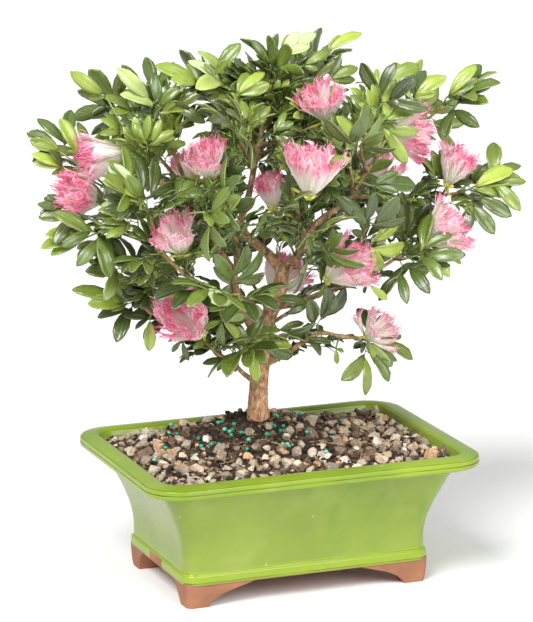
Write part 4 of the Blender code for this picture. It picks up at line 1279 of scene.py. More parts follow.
def twigStart(name, prefix, tip):
    tree = nodeTree(prefix + name)
    wide = leafRule["twigRadius"]
    for start, at in twigStarts(tip):
        near = tree.find_range(start, wide * 1.05)
        if sum(1 for _, _, far in near if abs(far - wide) < 2e-5) >= 3:
            return at
    print("no twig matched for", name)
    return twigStarts(tip)[0][1]


def outOfCrown(point):  # away from the crown's middle, 1 long at its edge
    centre, radii = leafRule["crownCentre"], leafRule["crownRadii"]
    return Vector(((point[i] - centre[i]) / radii[i] for i in range(3)))


def leafPose(start, tip, number, key):
    draw = random.Random(key)
    rule = leafRule
    along = (tip - start).normalized()
    outward = outOfCrown(tip).normalized()
    outward.z = max(outward.z, rule["lowestSpread"])
    towards = -1 if tip.y < rule["backHalf"] else 1
    loose = Vector((draw.uniform(-1, 1), draw.uniform(-1, 1), draw.uniform(-1, 1)))
    heading = along * rule["alongTwig"] + outward * rule["levelling"] + up * rule["rising"]
    heading += loose * rule["chance"]
    heading.normalize()
    facing = outward * rule["faceOutward"]
    facing += Vector((0, towards * draw.uniform(*rule["faceSideways"]), draw.uniform(*rule["faceUp"])))
    facing = (facing - heading * facing.dot(heading)).normalized()
    if number:
        swing = math.radians(draw.uniform(*rule["swing"])) * (-1) ** number
        heading = Matrix.Rotation(swing, 3, facing) @ heading
    place = tip - along * min(rule["spacing"] * number, 0.8 * (tip - start).length)
    shortening = rule["tightShare"] if key % rule["tries"] > rule["tries"] / 2 else 1
    lengths = [draw.uniform(*rule["length"]) * shortening for _ in range(4)]
    rolls = [math.radians(draw.uniform(-rule["roll"], rule["roll"])) for _ in range(4)]
    return place, heading, facing, lengths, rolls


# Two pairs of leaflets, and a low one on each side if the form has it; dress gives each its tilt and size
def forkedBlades(place, heading, facing, form, dress):
    fork = place + heading * form["petiole"]
    blades = []
    for turn in (1, -1):
        pinna = Matrix.Rotation(turn * form["pinnaSpread"], 3, facing) @ heading
        end = fork + pinna * form["pinna"]
        for way in (1, -1):
            blade = Matrix.Rotation(way * form["leafletSpread"], 3, facing) @ pinna
            angle, size = dress()
            blades.append((end, blade, Matrix.Rotation(angle, 3, blade) @ facing, size))
        if "lowSpread" in form:
            low = Matrix.Rotation(turn * form["lowSpread"], 3, facing) @ heading
            angle, size = dress(True)
            blades.append((fork.lerp(end, 0.5), low, Matrix.Rotation(angle, 3, low) @ facing, size))
    return fork, blades


def leafBlades(pose):  # root, direction, face and length of the four leaflets of the solid's leaf
    place, heading, facing, lengths, rolls = pose
    own = zip(rolls, lengths)
    return forkedBlades(place, heading, facing, leafRule, lambda: next(own))


def solidLeaves(name, index, start, tip, count):  # the poses that the solid's leaves have
    tree = nodeTree("shoot_" + name)
    poses = []
    for number in range(count):
        for attempt in range(leafRule["tries"]):
            key = (index * 10 + number) * leafRule["tries"] + attempt
            pose = leafPose(start, tip, number, key)
            _, blades = leafBlades(pose)
            tops = [root + blade * 0.5 * size + tilt * (leafRule["arch"] * size + leafRule["thickness"] / 2)
                    for root, blade, tilt, size in blades]
            if all(tree.find(top)[2] < 3e-5 for top in tops):
                poses.append(pose)
                break
    if len(poses) < count:
        print("leaves not matched:", name, len(poses), "of", count)
    return poses


leaflet = {
    "stations": (0.0, 0.12, 0.32, 0.56, 0.79, 0.93, 1.0),   # along the blade
    "halfWidths": (0.10, 0.42, 0.80, 1.0, 0.87, 0.52, 0.14),
    "aspect": 0.39,
    "arch": 0.30,
    "groove": 0.022,
    "ripple": 0.010,
    "thickness": 0.024,
}


def makeLeafletPattern(columns, bend, cup, twist, narrow):  # one blade of unit length along X, facing up
    deselectAll()
    rows = len(leaflet["stations"]) - 1
    bpy.ops.mesh.primitive_grid_add(x_subdivisions=rows, y_subdivisions=columns, size=1,
                                    location=(0.5, 0, 0))
    blade = bpy.context.object
    applyAll(blade)
    lines = [[v.index for v in blade.data.vertices if abs(v.co.x - row / rows) < 0.01]
             for row in range(rows + 1)]
    bpy.ops.object.mode_set(mode="EDIT")
    for row, (x, width) in enumerate(zip(leaflet["stations"], leaflet["halfWidths"])):
        bpy.ops.mesh.select_all(action="DESELECT")
        bm = bmesh.from_edit_mesh(blade.data)
        bm.verts.ensure_lookup_table()
        for index in lines[row]:
            bm.verts[index].select = True
        bm.select_flush_mode()
        bmesh.update_edit_mesh(blade.data)
        rise = leaflet["arch"] * x * (1 - x) - bend * x * x
        bpy.ops.transform.resize(value=(1, width * leaflet["aspect"] * narrow, 1), center_override=(x, 0, 0))
        bpy.ops.transform.translate(value=(x - row / rows, 0, rise))
        if twist:
            bpy.ops.transform.rotate(value=-twist * x, orient_axis="X", center_override=(x, 0, rise))
    bpy.ops.object.mode_set(mode="OBJECT")
    for point in [vertex.co for vertex in blade.data.vertices]:
        across = abs(point.y) / (0.5 * leaflet["aspect"])
        point.z += cup * across * across - (leaflet["groove"] if across < 0.02 else 0)
        point.z += leaflet["ripple"] * math.sin(point.x * 17 + (1 if point.y > 0 else 3)) * across
        point.x -= 0.35 * across * max(0.0, point.x - 0.85)
    sheet = blade.modifiers.new("sheet", "SOLIDIFY")
    sheet.thickness = leaflet["thickness"]
    sheet.offset = 0
    sheet.material_offset = 1
    blade.data.materials.append(leafMaterial)
    blade.data.materials.append(undersideMaterial)
    applyAll(blade)
    return patternOf(blade, mapped=True)


def leafVeins(tree):  # masks of the midrib, the side veins and the edge, from the leaf's own map
    mapped = addNode(tree, "SeparateXYZ", {"Vector": addNode(tree, "UVMap", uv_map="leafMap")["UV"]})
    offset = maths(tree, "ABSOLUTE", maths(tree, "SUBTRACT", mapped["Y"], 0.5))
    slanted = maths(tree, "MULTIPLY_ADD", offset, -0.55, mapped["X"])
    wave = maths(tree, "PINGPONG", times(tree, slanted, 9.0), 0.5)
    return reach(tree, offset, 0.045, 0.012), reach(tree, wave, 0.42, 0.5), reach(tree, offset, 0.455, 0.49)


def makeLeafMaterials():
    top, tree, shader = newMaterial("leafTop", (0.06, 0.15, 0.03), 0.34, Specular_IOR_Level=0.6,
                                    Coat_Weight=0.4, Coat_Roughness=0.2)
    base = ramp(tree, pieceValue(tree, "tone"), (
        (0.0, (0.024, 0.041, 0.009)), (0.35, (0.092, 0.140, 0.020)), (0.65, (0.23, 0.315, 0.040)),
        (0.85, (0.36, 0.465, 0.060)), (1.0, (0.52, 0.62, 0.35))))
    patches = mottled(tree, base, 120.0, 0.4)
    midrib, side, edge = leafVeins(tree)
    lighter = mixColour(tree, 0.4, patches, (0.42, 0.52, 0.16))
    colour = patches
    for mask, strength in ((midrib, 0.5), (side, 0.18), (edge, 0.6)):
        colour = mixColour(tree, times(tree, mask, strength), colour, lighter)
    tree.links.new(colour, shader["Base Color"])
    depth = maths(tree, "ADD", midrib, times(tree, side, 0.5))
    tree.links.new(bumpOf(tree, depth, 0.4, 0.3 * mm, invert=True), shader["Normal"])
    shine = useGroup(tree, mottleGroup, {"Scale": 200.0, "Amount": 0.3})["Patches"]
    tree.links.new(reach(tree, shine, 0.3, 0.7, 0.20, 0.38), shader["Roughness"])
    under, tree, shader = newMaterial("leafUnderside", (0.2, 0.3, 0.1), 0.6)
    base = ramp(tree, pieceValue(tree, "tone"), (
        (0.0, (0.12, 0.18, 0.06)), (0.6, (0.23, 0.33, 0.10)), (1.0, (0.50, 0.62, 0.28))))
    midrib = leafVeins(tree)[0]
    colour = mixColour(tree, times(tree, midrib, 0.6), mottled(tree, base, 140.0, 0.25), (0.42, 0.5, 0.22))
    tree.links.new(colour, shader["Base Color"])
    tree.links.new(bumpOf(tree, midrib, 0.5, 0.3 * mm), shader["Normal"])
    return top, under


def stalkCopy(start, end, startRadius, endRadius, slot=2, sag=0.0, sides=6, steps=5):  # radii and sag in mm
    share = [step / steps for step in range(steps + 1)]
    points = [start.lerp(end, t) - up * sag * mm * math.sin(math.pi * t) for t in share]
    radii = [startRadius * mm + (endRadius * mm - startRadius * mm) * t for t in share]
    return sweep(points, radii, sides, slot, tone=np.linspace(0.0, 0.55, steps + 1))


def bladeMatrix(root, blade, tilt, size):
    side = tilt.cross(blade).normalized()
    facing = blade.cross(side)
    matrix = Matrix((blade * size, side * size, facing * size)).transposed().to_4x4()
    matrix.translation = root
    return matrix


def bladeCopies(fork, place, heading, blades, fine, draw, tone):  # a leaf's stalks and its leaflets
    copies = [stalkCopy(place - heading * 0.6 * mm, fork, 0.44, 0.34, sag=0.3, sides=4, steps=2)]
    for root in {tuple(root): root for root, _, _, _ in blades}.values():
        if (root - fork).length > 0.5 * mm:
            copies.append(stalkCopy(fork, root, 0.34, 0.3, sides=3, steps=1))
    for number, (root, blade, tilt, size) in enumerate(blades):
        while not insideBox([root + blade * size]):
            size *= 0.96
        shade = held(tone + draw.gauss(0, 0.07))
        pattern = draw.choice(leafletPatterns if number < fine else smallPatterns)
        copies.append(copyOf(pattern, bladeMatrix(root, blade, tilt, size), tone=shade))
    return copies


def solidLeafCopies(pose, draw, tone):  # the solid's leaf, with a lower pair of small leaflets
    place, heading, facing, lengths, _ = pose
    fork, blades = leafBlades(pose)
    for number, turn in ((0, 1), (2, -1)):
        low = Matrix.Rotation(turn * leafRule["addedSpread"], 3, facing) @ heading
        root = fork.lerp(blades[number][0], 0.55)
        blades.append((root, low, facing, lengths[number] * draw.uniform(0.45, 0.62)))
    return bladeCopies(fork, place, heading, blades, 4, draw, tone)


def freshBlades(place, heading, facing, far, draw):  # a leaf of the scene's own, with small low leaflets
    least, most = foliage["size"]
    size = (least + (most - least) * (0.2 + 0.8 * far * far)) * draw.uniform(0.8, 1.15)

    def dress(low=False):
        angle = draw.uniform(-0.4, 0.4) if low else draw.uniform(-0.35, 0.35)
        return angle, size * (draw.uniform(0.45, 0.7) if low else draw.uniform(0.85, 1.1))

    return forkedBlades(place, heading, facing, foliage, dress)


foliage = {
    "seed": 41,
    "youngShare": 0.10,
    "paleShare": 0.035,
    "tries": 12,
    "extraPerShoot": 4,
    "twigSpacing": 8.6 * mm,
    "spraySpacing": 9 * mm,
    "twigLength": (5 * mm, 16 * mm),
    "size": (8.5 * mm, 19 * mm),   # leaflets in the middle of the crown, and at its edge
    "pinnaSpread": math.radians(27),
    "leafletSpread": math.radians(19),
    "lowSpread": math.radians(58),
    "petiole": 4.5 * mm,
    "pinna": 4 * mm,
    "lowest": 108 * mm,
    "thickest": 4.4 * mm,
    "loose": 0.38,
    "outwards": 0.5,
    "upwards": 0.12,
    "nearby": 45 * mm,
    "boxMargin": 1.9 * mm,
    "sprayMargin": 2.2 * mm,
}

# The crown's edge in the photograph, as pixels round it
crownEdge = (
    (12, 146), (40, 132), (66, 142), (100, 128), (96, 104), (70, 84), (78, 70), (108, 82), (128, 62),
    (160, 60), (206, 66), (234, 40), (250, 56), (256, 38), (280, 24), (318, 18), (326, 34), (362, 26),
    (366, 44), (340, 66), (372, 74), (420, 58), (410, 88), (444, 76), (484, 60), (474, 94), (440, 118),
    (452, 140), (490, 152), (524, 170), (520, 196), (486, 204), (482, 262), (446, 280), (424, 280),
    (402, 292), (384, 302), (362, 292), (342, 318), (346, 336), (398, 346), (402, 370), (372, 366),
    (342, 352), (306, 352), (292, 360), (262, 366), (240, 366), (212, 372), (186, 366), (152, 354),
    (128, 328), (104, 312), (76, 288), (88, 280), (116, 290), (124, 276), (90, 258), (108, 250),
    (70, 258), (42, 250), (40, 230), (66, 222), (34, 208), (34, 194), (60, 186), (34, 172))

# Windows in the crown where the photograph shows bark or daylight: pixel across, down, half sizes
windows = (
    (255, 392, 46, 26), (248, 362, 20, 10), (124, 248, 22, 10), (254, 272, 18, 18), (236, 290, 9, 26),
    (256, 314, 13, 14), (276, 300, 15, 34), (281, 255, 8, 10), (298, 272, 9, 13), (303, 318, 20, 11),
    (336, 304, 12, 12), (390, 294, 38, 16), (352, 224, 12, 13), (386, 216, 12, 16), (402, 174, 22, 9),
    (266, 199, 7, 7), (151, 168, 6, 6), (160, 188, 8, 6), (222, 272, 6, 16), (205, 266, 8, 6),
    (271, 119, 5, 7), (254, 196, 6, 40), (246, 222, 8, 10), (268, 250, 9, 12), (322, 216, 8, 7),
    (452, 288, 40, 30), (100, 272, 14, 7), (420, 330, 22, 30), (446, 110, 8, 20))

# Limbs that no leaf hides in the photograph: from which of their points to which, and pixels beside them
bareLimbs = {
    "trunk": (0, 7, 5), "left_stem": (0, 6, 2.5), "left_stem_fork": (0, 2, 2), "up_left": (0, 4, 2.5),
    "leader": (0, 5, 2.5), "right": (0, 7, 2), "left_mid": (1, 6, 2.5), "right_low": (0, 4, 1.5),
    "left_low": (0, 3, 1.5), "right_mid": (0, 3, 1.5),
}

# Leaflets that stand out in the photograph: where each spray's twig ends (pixel across, down, and mm
# behind), then its leaflets' tips (pixel across, down, mm behind) with how young each is
sprays = {
    "topLeft": ((270, 62, 16), ((255, 41, 14, 0.35), (277, 28, 12, 0.15), (264, 50, 26, 0.3))),
    "topPale": ((280, 56, 12), ((299, 23, 14, 0.97), (316, 25, 10, 0.9), (310, 47, 4, 0.85),
        (294, 34, 22, 0.8))),
    "topLime": ((326, 52, 16), ((361, 31, 14, 0.82), (344, 36, 22, 0.7))),
    "topDark": ((302, 66, 8), ((329, 50, 6, 0.5), (318, 70, 2, 0.45), (322, 60, 16, 0.4))),
    "topGrey": ((214, 76, 20), ((240, 43, 18, 0.45), (204, 64, 24, 0.5), (226, 60, 12, 0.55))),
    "leftLime": ((200, 84, 20), ((159, 64, 18, 0.72), (170, 80, 14, 0.75), (186, 64, 26, 0.4))),
    "leftPale": ((158, 108, 20), ((119, 69, 18, 0.95), (124, 92, 16, 0.93), (155, 73, 22, 0.25),
        (178, 86, 14, 0.4))),
    "leftFar": ((106, 96, 22), ((73, 75, 20, 0.72), (88, 98, 26, 0.5))),
    "leftFarInner": ((134, 112, 24), ((106, 94, 22, 0.5), (110, 112, 18, 0.5), (128, 98, 30, 0.45))),
    "midLeaf": ((236, 96, 6), ((262, 69, 4, 0.78), (270, 84, 2, 0.6), (248, 72, 12, 0.5))),
    "topShelf": ((328, 80, 12), ((358, 66, 10, 0.5), (356, 80, 8, 0.45), (340, 56, 14, 0.4),
        (346, 76, 18, 0.3))),
    "rightArm": ((380, 88, -4), ((418, 62, -6, 0.55), (392, 68, 0, 0.75), (404, 82, -10, 0.7),
        (376, 68, 4, 0.7))),
    "spire": ((446, 98, 20), ((476, 64, 18, 0.72), (484, 63, 24, 0.3), (478, 78, 16, 0.5),
        (462, 96, 26, 0.4))),
    "spireLow": ((412, 100, 14), ((446, 76, 12, 0.78), (436, 92, 8, 0.75), (404, 88, 18, 0.7))),
    "farRight": ((468, 190, 10), ((513, 168, 8, 0.88), (523, 176, 12, 0.8), (517, 190, 6, 0.6),
        (496, 198, 14, 0.45))),
    "farRightTop": ((470, 184, 18), ((500, 162, 16, 0.3), (486, 170, 12, 0.25))),
    "farLeft": ((60, 152, 18), ((16, 146, 16, 0.6), (44, 134, 22, 0.5), (30, 140, 26, 0.55))),
    "farLeftPale": ((64, 168, 12), ((24, 153, 10, 0.85), (50, 150, 8, 0.2), (34, 162, 16, 0.9))),
    "bigLime": ((142, 200, -50), ((104, 180, -54, 0.80), (108, 164, -46, 0.93), (128, 176, -58, 0.5))),
    "leftTip": ((64, 208, 6), ((35, 205, 4, 0.3), (48, 194, 8, 0.35), (40, 214, 10, 0.3))),
    "leftLow": ((86, 238, 4), ((45, 235, 2, 0.80), (41, 249, 6, 0.7), (52, 252, 0, 0.6),
        (62, 226, 8, 0.4))),
    "leftDrop": ((96, 240, 6), ((78, 262, 4, 0.5), (76, 248, 10, 0.5))),
    "leftShelf": ((124, 280, 6), ((92, 259, 4, 0.72), (108, 284, 10, 0.5))),
    "lowLeft": ((128, 304, 8), ((78, 285, 6, 0.55), (88, 304, 4, 0.68), (108, 284, 12, 0.4),
        (112, 310, 2, 0.45))),
    "lowLeftDark": ((150, 318, 8), ((126, 314, 6, 0.1), (149, 351, 4, 0.84), (134, 328, 12, 0.2))),
    "droop": ((182, 340, 2), ((188, 361, 0, 0.3), (172, 352, 4, 0.3))),
    "lowTwig": ((228, 360, 6), ((205, 361, 4, 0.3), (217, 370, 2, 0.35), (214, 352, 8, 0.3),
        (236, 372, 4, 0.2))),
    "lowFront": ((252, 350, -14), ((236, 354, -16, 0.6), (257, 382, -18, 0.84), (249, 370, -12, 0.3),
        (268, 366, -14, 0.75))),
    "lowFrontRight": ((262, 348, -14), ((292, 345, -16, 0.80), (292, 356, -12, 0.3), (280, 336, -10, 0.4))),
    "lowFrontUp": ((248, 348, -20), ((262, 318, -22, 0.4), (238, 326, -18, 0.4), (232, 340, -24, 0.35))),
    "lowInner": ((222, 320, -30), ((204, 330, -32, 0.6), (246, 316, -34, 0.5), (240, 340, -28, 0.78),
        (222, 346, -26, 0.4))),
    "stemLeaf": ((234, 306, -30), ((202, 292, -34, 0.92), (222, 290, -28, 0.5), (210, 310, -36, 0.45))),
    "stemTop": ((244, 300, -34), ((280, 288, -36, 0.45), (258, 290, -30, 0.4), (262, 316, -38, 0.4))),
    "lowRight": ((306, 340, 0), ((332, 341, -2, 0.3), (324, 354, 2, 0.3), (308, 322, 4, 0.3))),
    "podLeaf": ((336, 348, -2), ((337, 364, -4, 0.65), (344, 352, 0, 0.6))),
    "lowRightTip": ((366, 340, -2), ((374, 358, -4, 0.84), (389, 367, -2, 0.86), (399, 366, 2, 0.3),
        (361, 353, -6, 0.3))),
    "rightLow": ((414, 262, -12), ((388, 285, -14, 0.35), (421, 277, -10, 0.55), (400, 270, -16, 0.3))),
    "rightLowOuter": ((426, 246, -8), ((442, 270, -10, 0.45), (448, 268, -4, 0.3), (432, 262, -12, 0.3))),
    "underBloom": ((368, 284, -30), ((388, 300, -32, 0.83), (362, 294, -26, 0.3))),
    "upright": ((406, 240, 4), ((402, 192, 2, 0.3), (414, 214, 6, 0.35), (424, 226, 0, 0.3))),
    "uprightSmall": ((366, 238, -24), ((364, 206, -26, 0.3), (384, 222, -22, 0.3), (352, 230, -28, 0.3))),
    "rightShelf": ((372, 186, -30), ((398, 172, -32, 0.3), (418, 183, -30, 0.3), (398, 192, -34, 0.3))),
    "rightInner": ((330, 250, -40), ((306, 244, -42, 0.2), (308, 264, -38, 0.2), (332, 230, -44, 0.3))),
    "hanging": ((326, 284, -20), ((336, 313, -22, 0.25), (318, 298, -24, 0.7))),
    "midRight": ((310, 304, -14), ((282, 296, -16, 0.3), (290, 312, -18, 0.35))),
    "lowRightInner": ((278, 330, -10), ((304, 322, -12, 0.35), (300, 334, -14, 0.3), (272, 322, -8, 0.4))),
    "bloomLeaf": ((318, 168, -70), ((352, 160, -74, 0.5), (336, 172, -72, 0.75), (338, 154, -66, 0.4))),
}


# A leaf's tone: a few pale, some young lime and more of them higher on the crown, the rest dark to mid
# green.
def leafTone(draw, high):
    pick = draw.random()
    if pick < foliage["paleShare"]:
        return draw.uniform(0.92, 1.0)
    if pick < foliage["paleShare"] + foliage["youngShare"] * (0.6 + high):
        return draw.uniform(0.72, 0.9)
    # dark to mid green, lifted by the leaf's height on the crown: painted top light
    return draw.uniform(0.04, 0.5) + 0.14 * high


def leafProxy(blades):  # a coarse copy of the leaflets for overlap tests
    points = []
    faces = []
    for root, blade, tilt, size in blades:
        side = tilt.cross(blade).normalized() * size * 0.2
        n = len(points)
        points += [root + blade * 0.08 * size, root + blade * 0.5 * size + side, root + blade * 0.97 * size,
                   root + blade * 0.5 * size - side]
        faces.append((n, n + 1, n + 2, n + 3))
    return points, faces


def inCrown(across, down):  # inside the crown's edge, as the photograph shows it
    inside = False
    for (x1, y1), (x2, y2) in zip(crownEdge, crownEdge[1:] + crownEdge[:1]):
        if (y1 > down) != (y2 > down) and across < x1 + (x2 - x1) * (down - y1) / (y2 - y1):
            inside = not inside
    return inside


def openToView(point):  # where no leaf of the photograph is
    across, down, _ = pixelOf(point)
    if not inCrown(across, down):
        return True
    return any(((across - x) / halfX) ** 2 + ((down - y) / halfY) ** 2 < 1 for x, y, halfX, halfY in windows)


bloomZones = [bloomFrame(name) for name in blooms]
taken = []
guarded = []


def meetsBloom(point):  # inside a bloom, or between it and the eye
    for base, axis, length, spread in bloomZones:
        away = point - base
        along = away.dot(axis)
        across = (away - axis * along).length
        if -1 * mm < along < length * 1.1 and across < 3 * mm + along * math.tan(spread) + 1 * mm:
            return True
        toEye = (view["eye"] - base).normalized()
        flatAxis = axis - toEye * axis.dot(toEye)
        run = flatAxis.length
        if away.dot(toEye) <= 0 or run < 0.1:
            continue
        flat = away - toEye * away.dot(toEye)
        flatAxis.normalize()
        along = flat.dot(flatAxis)
        across = (flat - flatAxis * along).length
        reachAcross = max(3 * mm, along / run * math.tan(spread))
        if 0.12 * length < along < run * length * 1.05 and across < reachAcross:
            return True
    return False


def hidesSpray(point):  # in front of a leaflet that the photograph shows
    across, down, depth = pixelOf(point)
    return any(math.hypot(across - x, down - y) < wide and depth < far for x, y, wide, far in guarded)


def keepInside(point, margin):  # no further out than the solids reach
    low, high = cadBox
    return Vector([min(max(point[i], low[i] + margin), high[i] - margin) for i in range(3)])


def insideBox(points):
    margin = foliage["boxMargin"]
    low, high = cadBox
    return all(low[i] + margin < p[i] < high[i] - margin for p in points for i in range(3))


def guardLimb(name, first, last, wide):  # a stretch of limb that the photograph shows bare
    line, radii = fineLimb(name, 4)
    for point, radius in zip(line[first * 4:last * 4 + 1], radii[first * 4:]):
        across, down, depth = pixelOf(point)
        guarded.append((across, down, wide + radius / mm * 1.6, depth))


def noteLeaf(blades):
    points, faces = leafProxy(blades)
    taken.append((sum(points, Vector()) / len(points), BVHTree.FromPolygons(points, faces)))


def isFree(blades):
    points, faces = leafProxy(blades)
    if not insideBox(points) or min(p.z for p in points) < foliage["lowest"]:
        return False
    for face in faces:
        root, right, tip, left = (points[i] for i in face)
        middle = (right + left) / 2
        if openToView(tip) or openToView(middle) or hidesSpray(middle) or hidesSpray(tip):
            return False
        if meetsBloom(tip) or meetsBloom(middle) or meetsBloom(root):
            return False
    tree = BVHTree.FromPolygons(points, faces)
    centre = sum(points, Vector()) / len(points)
    return not any((centre - other).length < foliage["nearby"] and tree.overlap(otherTree)
                   for other, otherTree in taken)


def growLeaf(place, heading, copies, draw):  # tries ways of standing until one is free
    outward = outOfCrown(place)
    far = min(1.0, outward.length)
    outward = outward.normalized() if outward.length > 0.05 else up.copy()
    outward.z = max(outward.z, -0.2)
    towards = -1 if place.y < leafRule["backHalf"] else 1
    for _ in range(foliage["tries"]):
        loose = Vector((draw.gauss(0, 1), draw.gauss(0, 1), draw.gauss(0, 0.8))) * foliage["loose"]
        ahead = (heading + outward * foliage["outwards"] + up * foliage["upwards"] + loose).normalized()
        facing = outward * 0.25 + up * draw.uniform(0.6, 1.1) + loose * 0.5
        facing += Vector((0, towards * draw.uniform(0.0, 0.6), 0))
        facing = facing - ahead * facing.dot(ahead)
        if facing.length < 0.05:
            continue
        facing.normalize()
        fork, blades = freshBlades(place, ahead, facing, far, draw)
        if isFree(blades):
            noteLeaf(blades)
            # the tone rises with the leaf's height on the crown: partly more young leaves there, partly
            # painted top light
            copies += bladeCopies(fork, place, ahead, blades, 0, draw, leafTone(draw, max(0.0, outward.z)))
            return 1
    return 0


def leafTwig(axis, ahead, places, turn, loose, copies, draw):  # a leaf at each place along a twig
    side = axis.orthogonal().normalized()
    made = 0
    for number, place in enumerate(places):
        around = Matrix.Rotation(number * turn + draw.uniform(-loose, loose), 3, axis) @ side
        made += growLeaf(place, (ahead + around * 0.8).normalized(), copies, draw)
    return made


def makeSpray(name, draw):  # the leaflets that stand out in the photograph
    basePixel, tips = sprays[name]
    base = seen(*basePixel)
    at = twigStarts(base)[0][1]
    copies = [stalkCopy(at, base, 0.8, 0.5, sag=-0.8)]
    toEye = (view["eye"] - base).normalized()
    for across, down, behind, tone in tips:
        tip = keepInside(seen(across, down, behind), foliage["sprayMargin"])
        run = tip - base
        blade = run.normalized()
        size = min(run.length * 0.9, 27 * mm)
        root = tip - blade * size
        facing = toEye * 0.8 + up * draw.uniform(0.1, 0.6)
        facing += Vector((draw.gauss(0, 0.25), 0, draw.gauss(0, 0.2)))
        facing = (facing - blade * facing.dot(blade)).normalized()
        copies.append(stalkCopy(base, root, 0.36, 0.28, sides=4, steps=2))
        copies.append(copyOf(draw.choice(leafletPatterns), bladeMatrix(root, blade, facing, size),
                             tone=held(tone + draw.gauss(0, 0.03))))
        noteLeaf([(root, blade, facing, size)])
        middle = pixelOf(root + blade * size * 0.55)
        guarded.append((middle[0], middle[1], 8.0, middle[2] + 4 * mm))
    return copies, at, base


def dressSpray(name, grown, draw):  # leaves along the twig behind the spray
    copies, at, base = grown
    length = (base - at).length
    places = [at.lerp(base, (number + 0.6) * foliage["spraySpacing"] / length)
              for number in range(int(length / foliage["spraySpacing"]))]
    along = base - at
    made = leafTwig(along, along.normalized() * 0.8, places, 2.2, 0.5, copies, draw)
    finishPiece(pieceFrom(copies, ("tone",)), "spray." + name, leafMaterials)
    return made


def growShoot(name, index, draw):  # the solid's own leaves, made finer
    tipPixel, count = shoots[name]
    tip = seen(*tipPixel)
    at = twigStart(name, "shoot_", tip)
    start = next((s for s, a in twigStarts(tip) if (a - at).length < 1e-7), at)
    copies = [stalkCopy(at, tip, 0.85, 0.5, sag=0.8)]
    for pose in solidLeaves(name, index, start, tip, count):
        noteLeaf(leafBlades(pose)[1])
        copies += solidLeafCopies(pose, draw, leafTone(draw, 0.5))
    return copies, at, tip


def fillShoot(name, grown, draw):  # fresh leaves between the solid's
    copies, at, tip = grown
    along = (tip - at).normalized()
    places = [tip - along * min(0.85 * (tip - at).length, (i * 4.5 + 1.5) * mm)
              for i in range(foliage["extraPerShoot"])]
    made = leafTwig(along, along * 0.6, places, 2.4, 0.4, copies, draw)
    shoot = pieceFrom(copies, ("tone",))
    finishPiece(shoot, "leafyShoot." + name, leafMaterials, ("shoot_" + name,))
    return made


def leafLimb(name, draw):  # short twigs with leaves, all along a limb
    line, radii = fineLimb(name, 6)
    copies = []
    travelled = 0.0
    due = foliage["twigSpacing"] * draw.uniform(0.5, 1.2)
    made = 0
    for i in range(len(line) - 1):
        travelled += (line[i + 1] - line[i]).length
        if travelled < due:
            continue
        due = travelled + foliage["twigSpacing"] * draw.uniform(0.7, 1.3)
        if line[i].z < foliage["lowest"] + 20 * mm or radii[i] > foliage["thickest"]:
            continue
        along = (line[i + 1] - line[i]).normalized()
        side = along.orthogonal().normalized()
        for _ in range(3):
            around = Matrix.Rotation(draw.uniform(0, 2 * math.pi), 3, along) @ side
            heading = (around + along * 0.5 + up * 0.3).normalized()
            tip = line[i] + heading * (radii[i] + draw.uniform(*foliage["twigLength"]))
            if meetsBloom(tip) or openToView(tip):
                continue
            twigCopies = []
            grown = 0
            for number in range(draw.choice((2, 2, 3))):
                place = tip - heading * number * 4 * mm
                turned = Matrix.Rotation(number * 2.4, 3, heading) @ heading.orthogonal().normalized()
                grown += growLeaf(place, (heading * 0.7 + turned * 0.6).normalized(), twigCopies, draw)
            if grown:
                copies.append(stalkCopy(line[i], tip, 0.6, 0.4, sides=4, steps=2))
                copies += twigCopies
                made += grown
    if copies:
        finishPiece(pieceFrom(copies, ("tone",)), "sideLeaves." + name, leafMaterials)
    return made


def growFoliage():
    draw = random.Random(foliage["seed"])
    for name, stretch in bareLimbs.items():
        guardLimb(name, *stretch)
    grownSprays = {name: makeSpray(name, draw) for name in sprays}
    grown = {name: growShoot(name, index, draw) for index, name in enumerate(shoots)}
    made = sum(fillShoot(name, grown[name], draw) for name in shoots)
    made += sum(dressSpray(name, grownSprays[name], draw) for name in sprays)
    print("fresh leaves on the shoots and sprays:", made)
    made = sum(leafLimb(name, draw) for name in limbs)
    print("leaves along the limbs:", made)


# Floor, light and camera
studio = {
    "world": 0.5,
    "lamps": (("keyLight", "SUN", (-1.0, -0.8, 1.35), {"energy": 3.35, "angle": math.radians(28)}),
              ("fillLight", "AREA", (0.3, -1.4, 0.8), {"shape": "DISK", "size": 1.0, "energy": 18.0})),
}


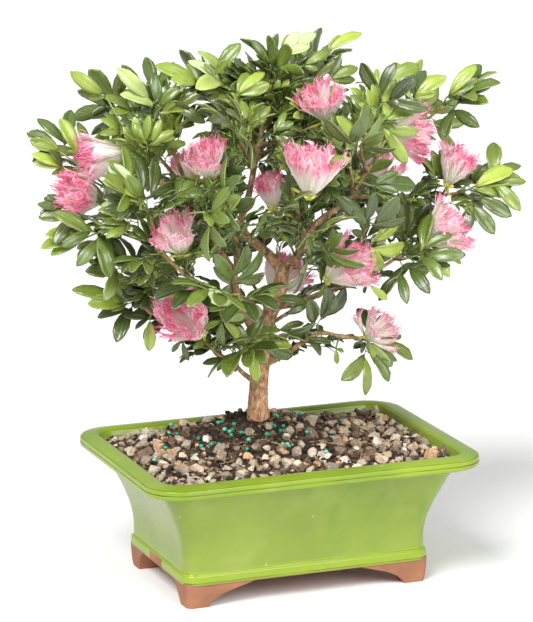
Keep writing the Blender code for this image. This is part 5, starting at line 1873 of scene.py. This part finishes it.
def makeStudio():
    deselectAll()
    bpy.ops.mesh.primitive_plane_add(size=12, location=(0, 0, 0))
    floor = bpy.context.object
    floor.name = "studioFloor"
    floor.data.materials.append(makeSurface("paleFloor"))
    world = bpy.data.worlds.new("studio")
    bpy.context.scene.world = world
    world.use_nodes = True
    backdrop = world.node_tree.nodes["Background"]
    backdrop.inputs["Color"].default_value = (1, 1, 1, 1)
    backdrop.inputs["Strength"].default_value = studio["world"]
    target = potMiddle + Vector((0, 0, 0.16))
    for name, kind, place, values in studio["lamps"]:
        lamp = bpy.data.lights.new(name, kind)
        for key, value in values.items():
            setattr(lamp, key, value)
        holder = newObject(name, lamp)
        holder.location = target + Vector(place)
        holder.rotation_euler = (-Vector(place)).to_track_quat("-Z", "Y").to_euler()
    camera = bpy.data.cameras.new("camera")
    camera.sensor_width = 36
    camera.lens = view["focalPixels"] * camera.sensor_width / max(view["imageSize"])
    camera.clip_start = 0.05
    camera.clip_end = 30
    holder = newObject("camera", camera)
    holder.location = view["eye"]
    holder.rotation_euler = Matrix((view["right"], view["up"], view["back"])).transposed().to_euler()
    bpy.context.scene.camera = holder
    bpy.context.scene.view_settings.view_transform = "Standard"


glazeMaterial = makeGlazeMaterial()
clayMaterial = makeSurface("bareTerracotta")
soilMaterial = makeSurface("pottingMix")
stoneMaterial = makeSurface("gravelStone")
barkMaterial = makeBarkMaterial()
filamentMaterial = makeFilamentMaterial()
leafMaterial, undersideMaterial = makeLeafMaterials()
twigMaterial = makeSurface("greenTwig")
print("materials ready")
makeStudio()
makePot()
makeFeet()
makeScreens()
makePrills([makeSoil(), makeGravel(), makeChips()])
print("pot and soil ready")
makeTree()
print("wood ready")
for bloomIndex, bloomName in enumerate(blooms):
    makeBloom(bloomName, bloomIndex)
print("blooms ready")
leafMaterials = (leafMaterial, undersideMaterial, twigMaterial)
leafShapes = (   # bend, cup, twist, narrowing
    (0.05, 0.05, 0.0, 1.06), (0.16, 0.03, 0.25, 0.98), (0.0, 0.07, -0.3, 1.1), (0.24, -0.03, 0.1, 0.94),
    (0.10, 0.04, -0.1, 0.86), (-0.04, 0.05, 0.15, 1.04))
leafletPatterns = [makeLeafletPattern(4, *shape) for shape in leafShapes]
smallPatterns = [makeLeafletPattern(2, *shape) for shape in leafShapes]
growFoliage()
print("foliage ready")
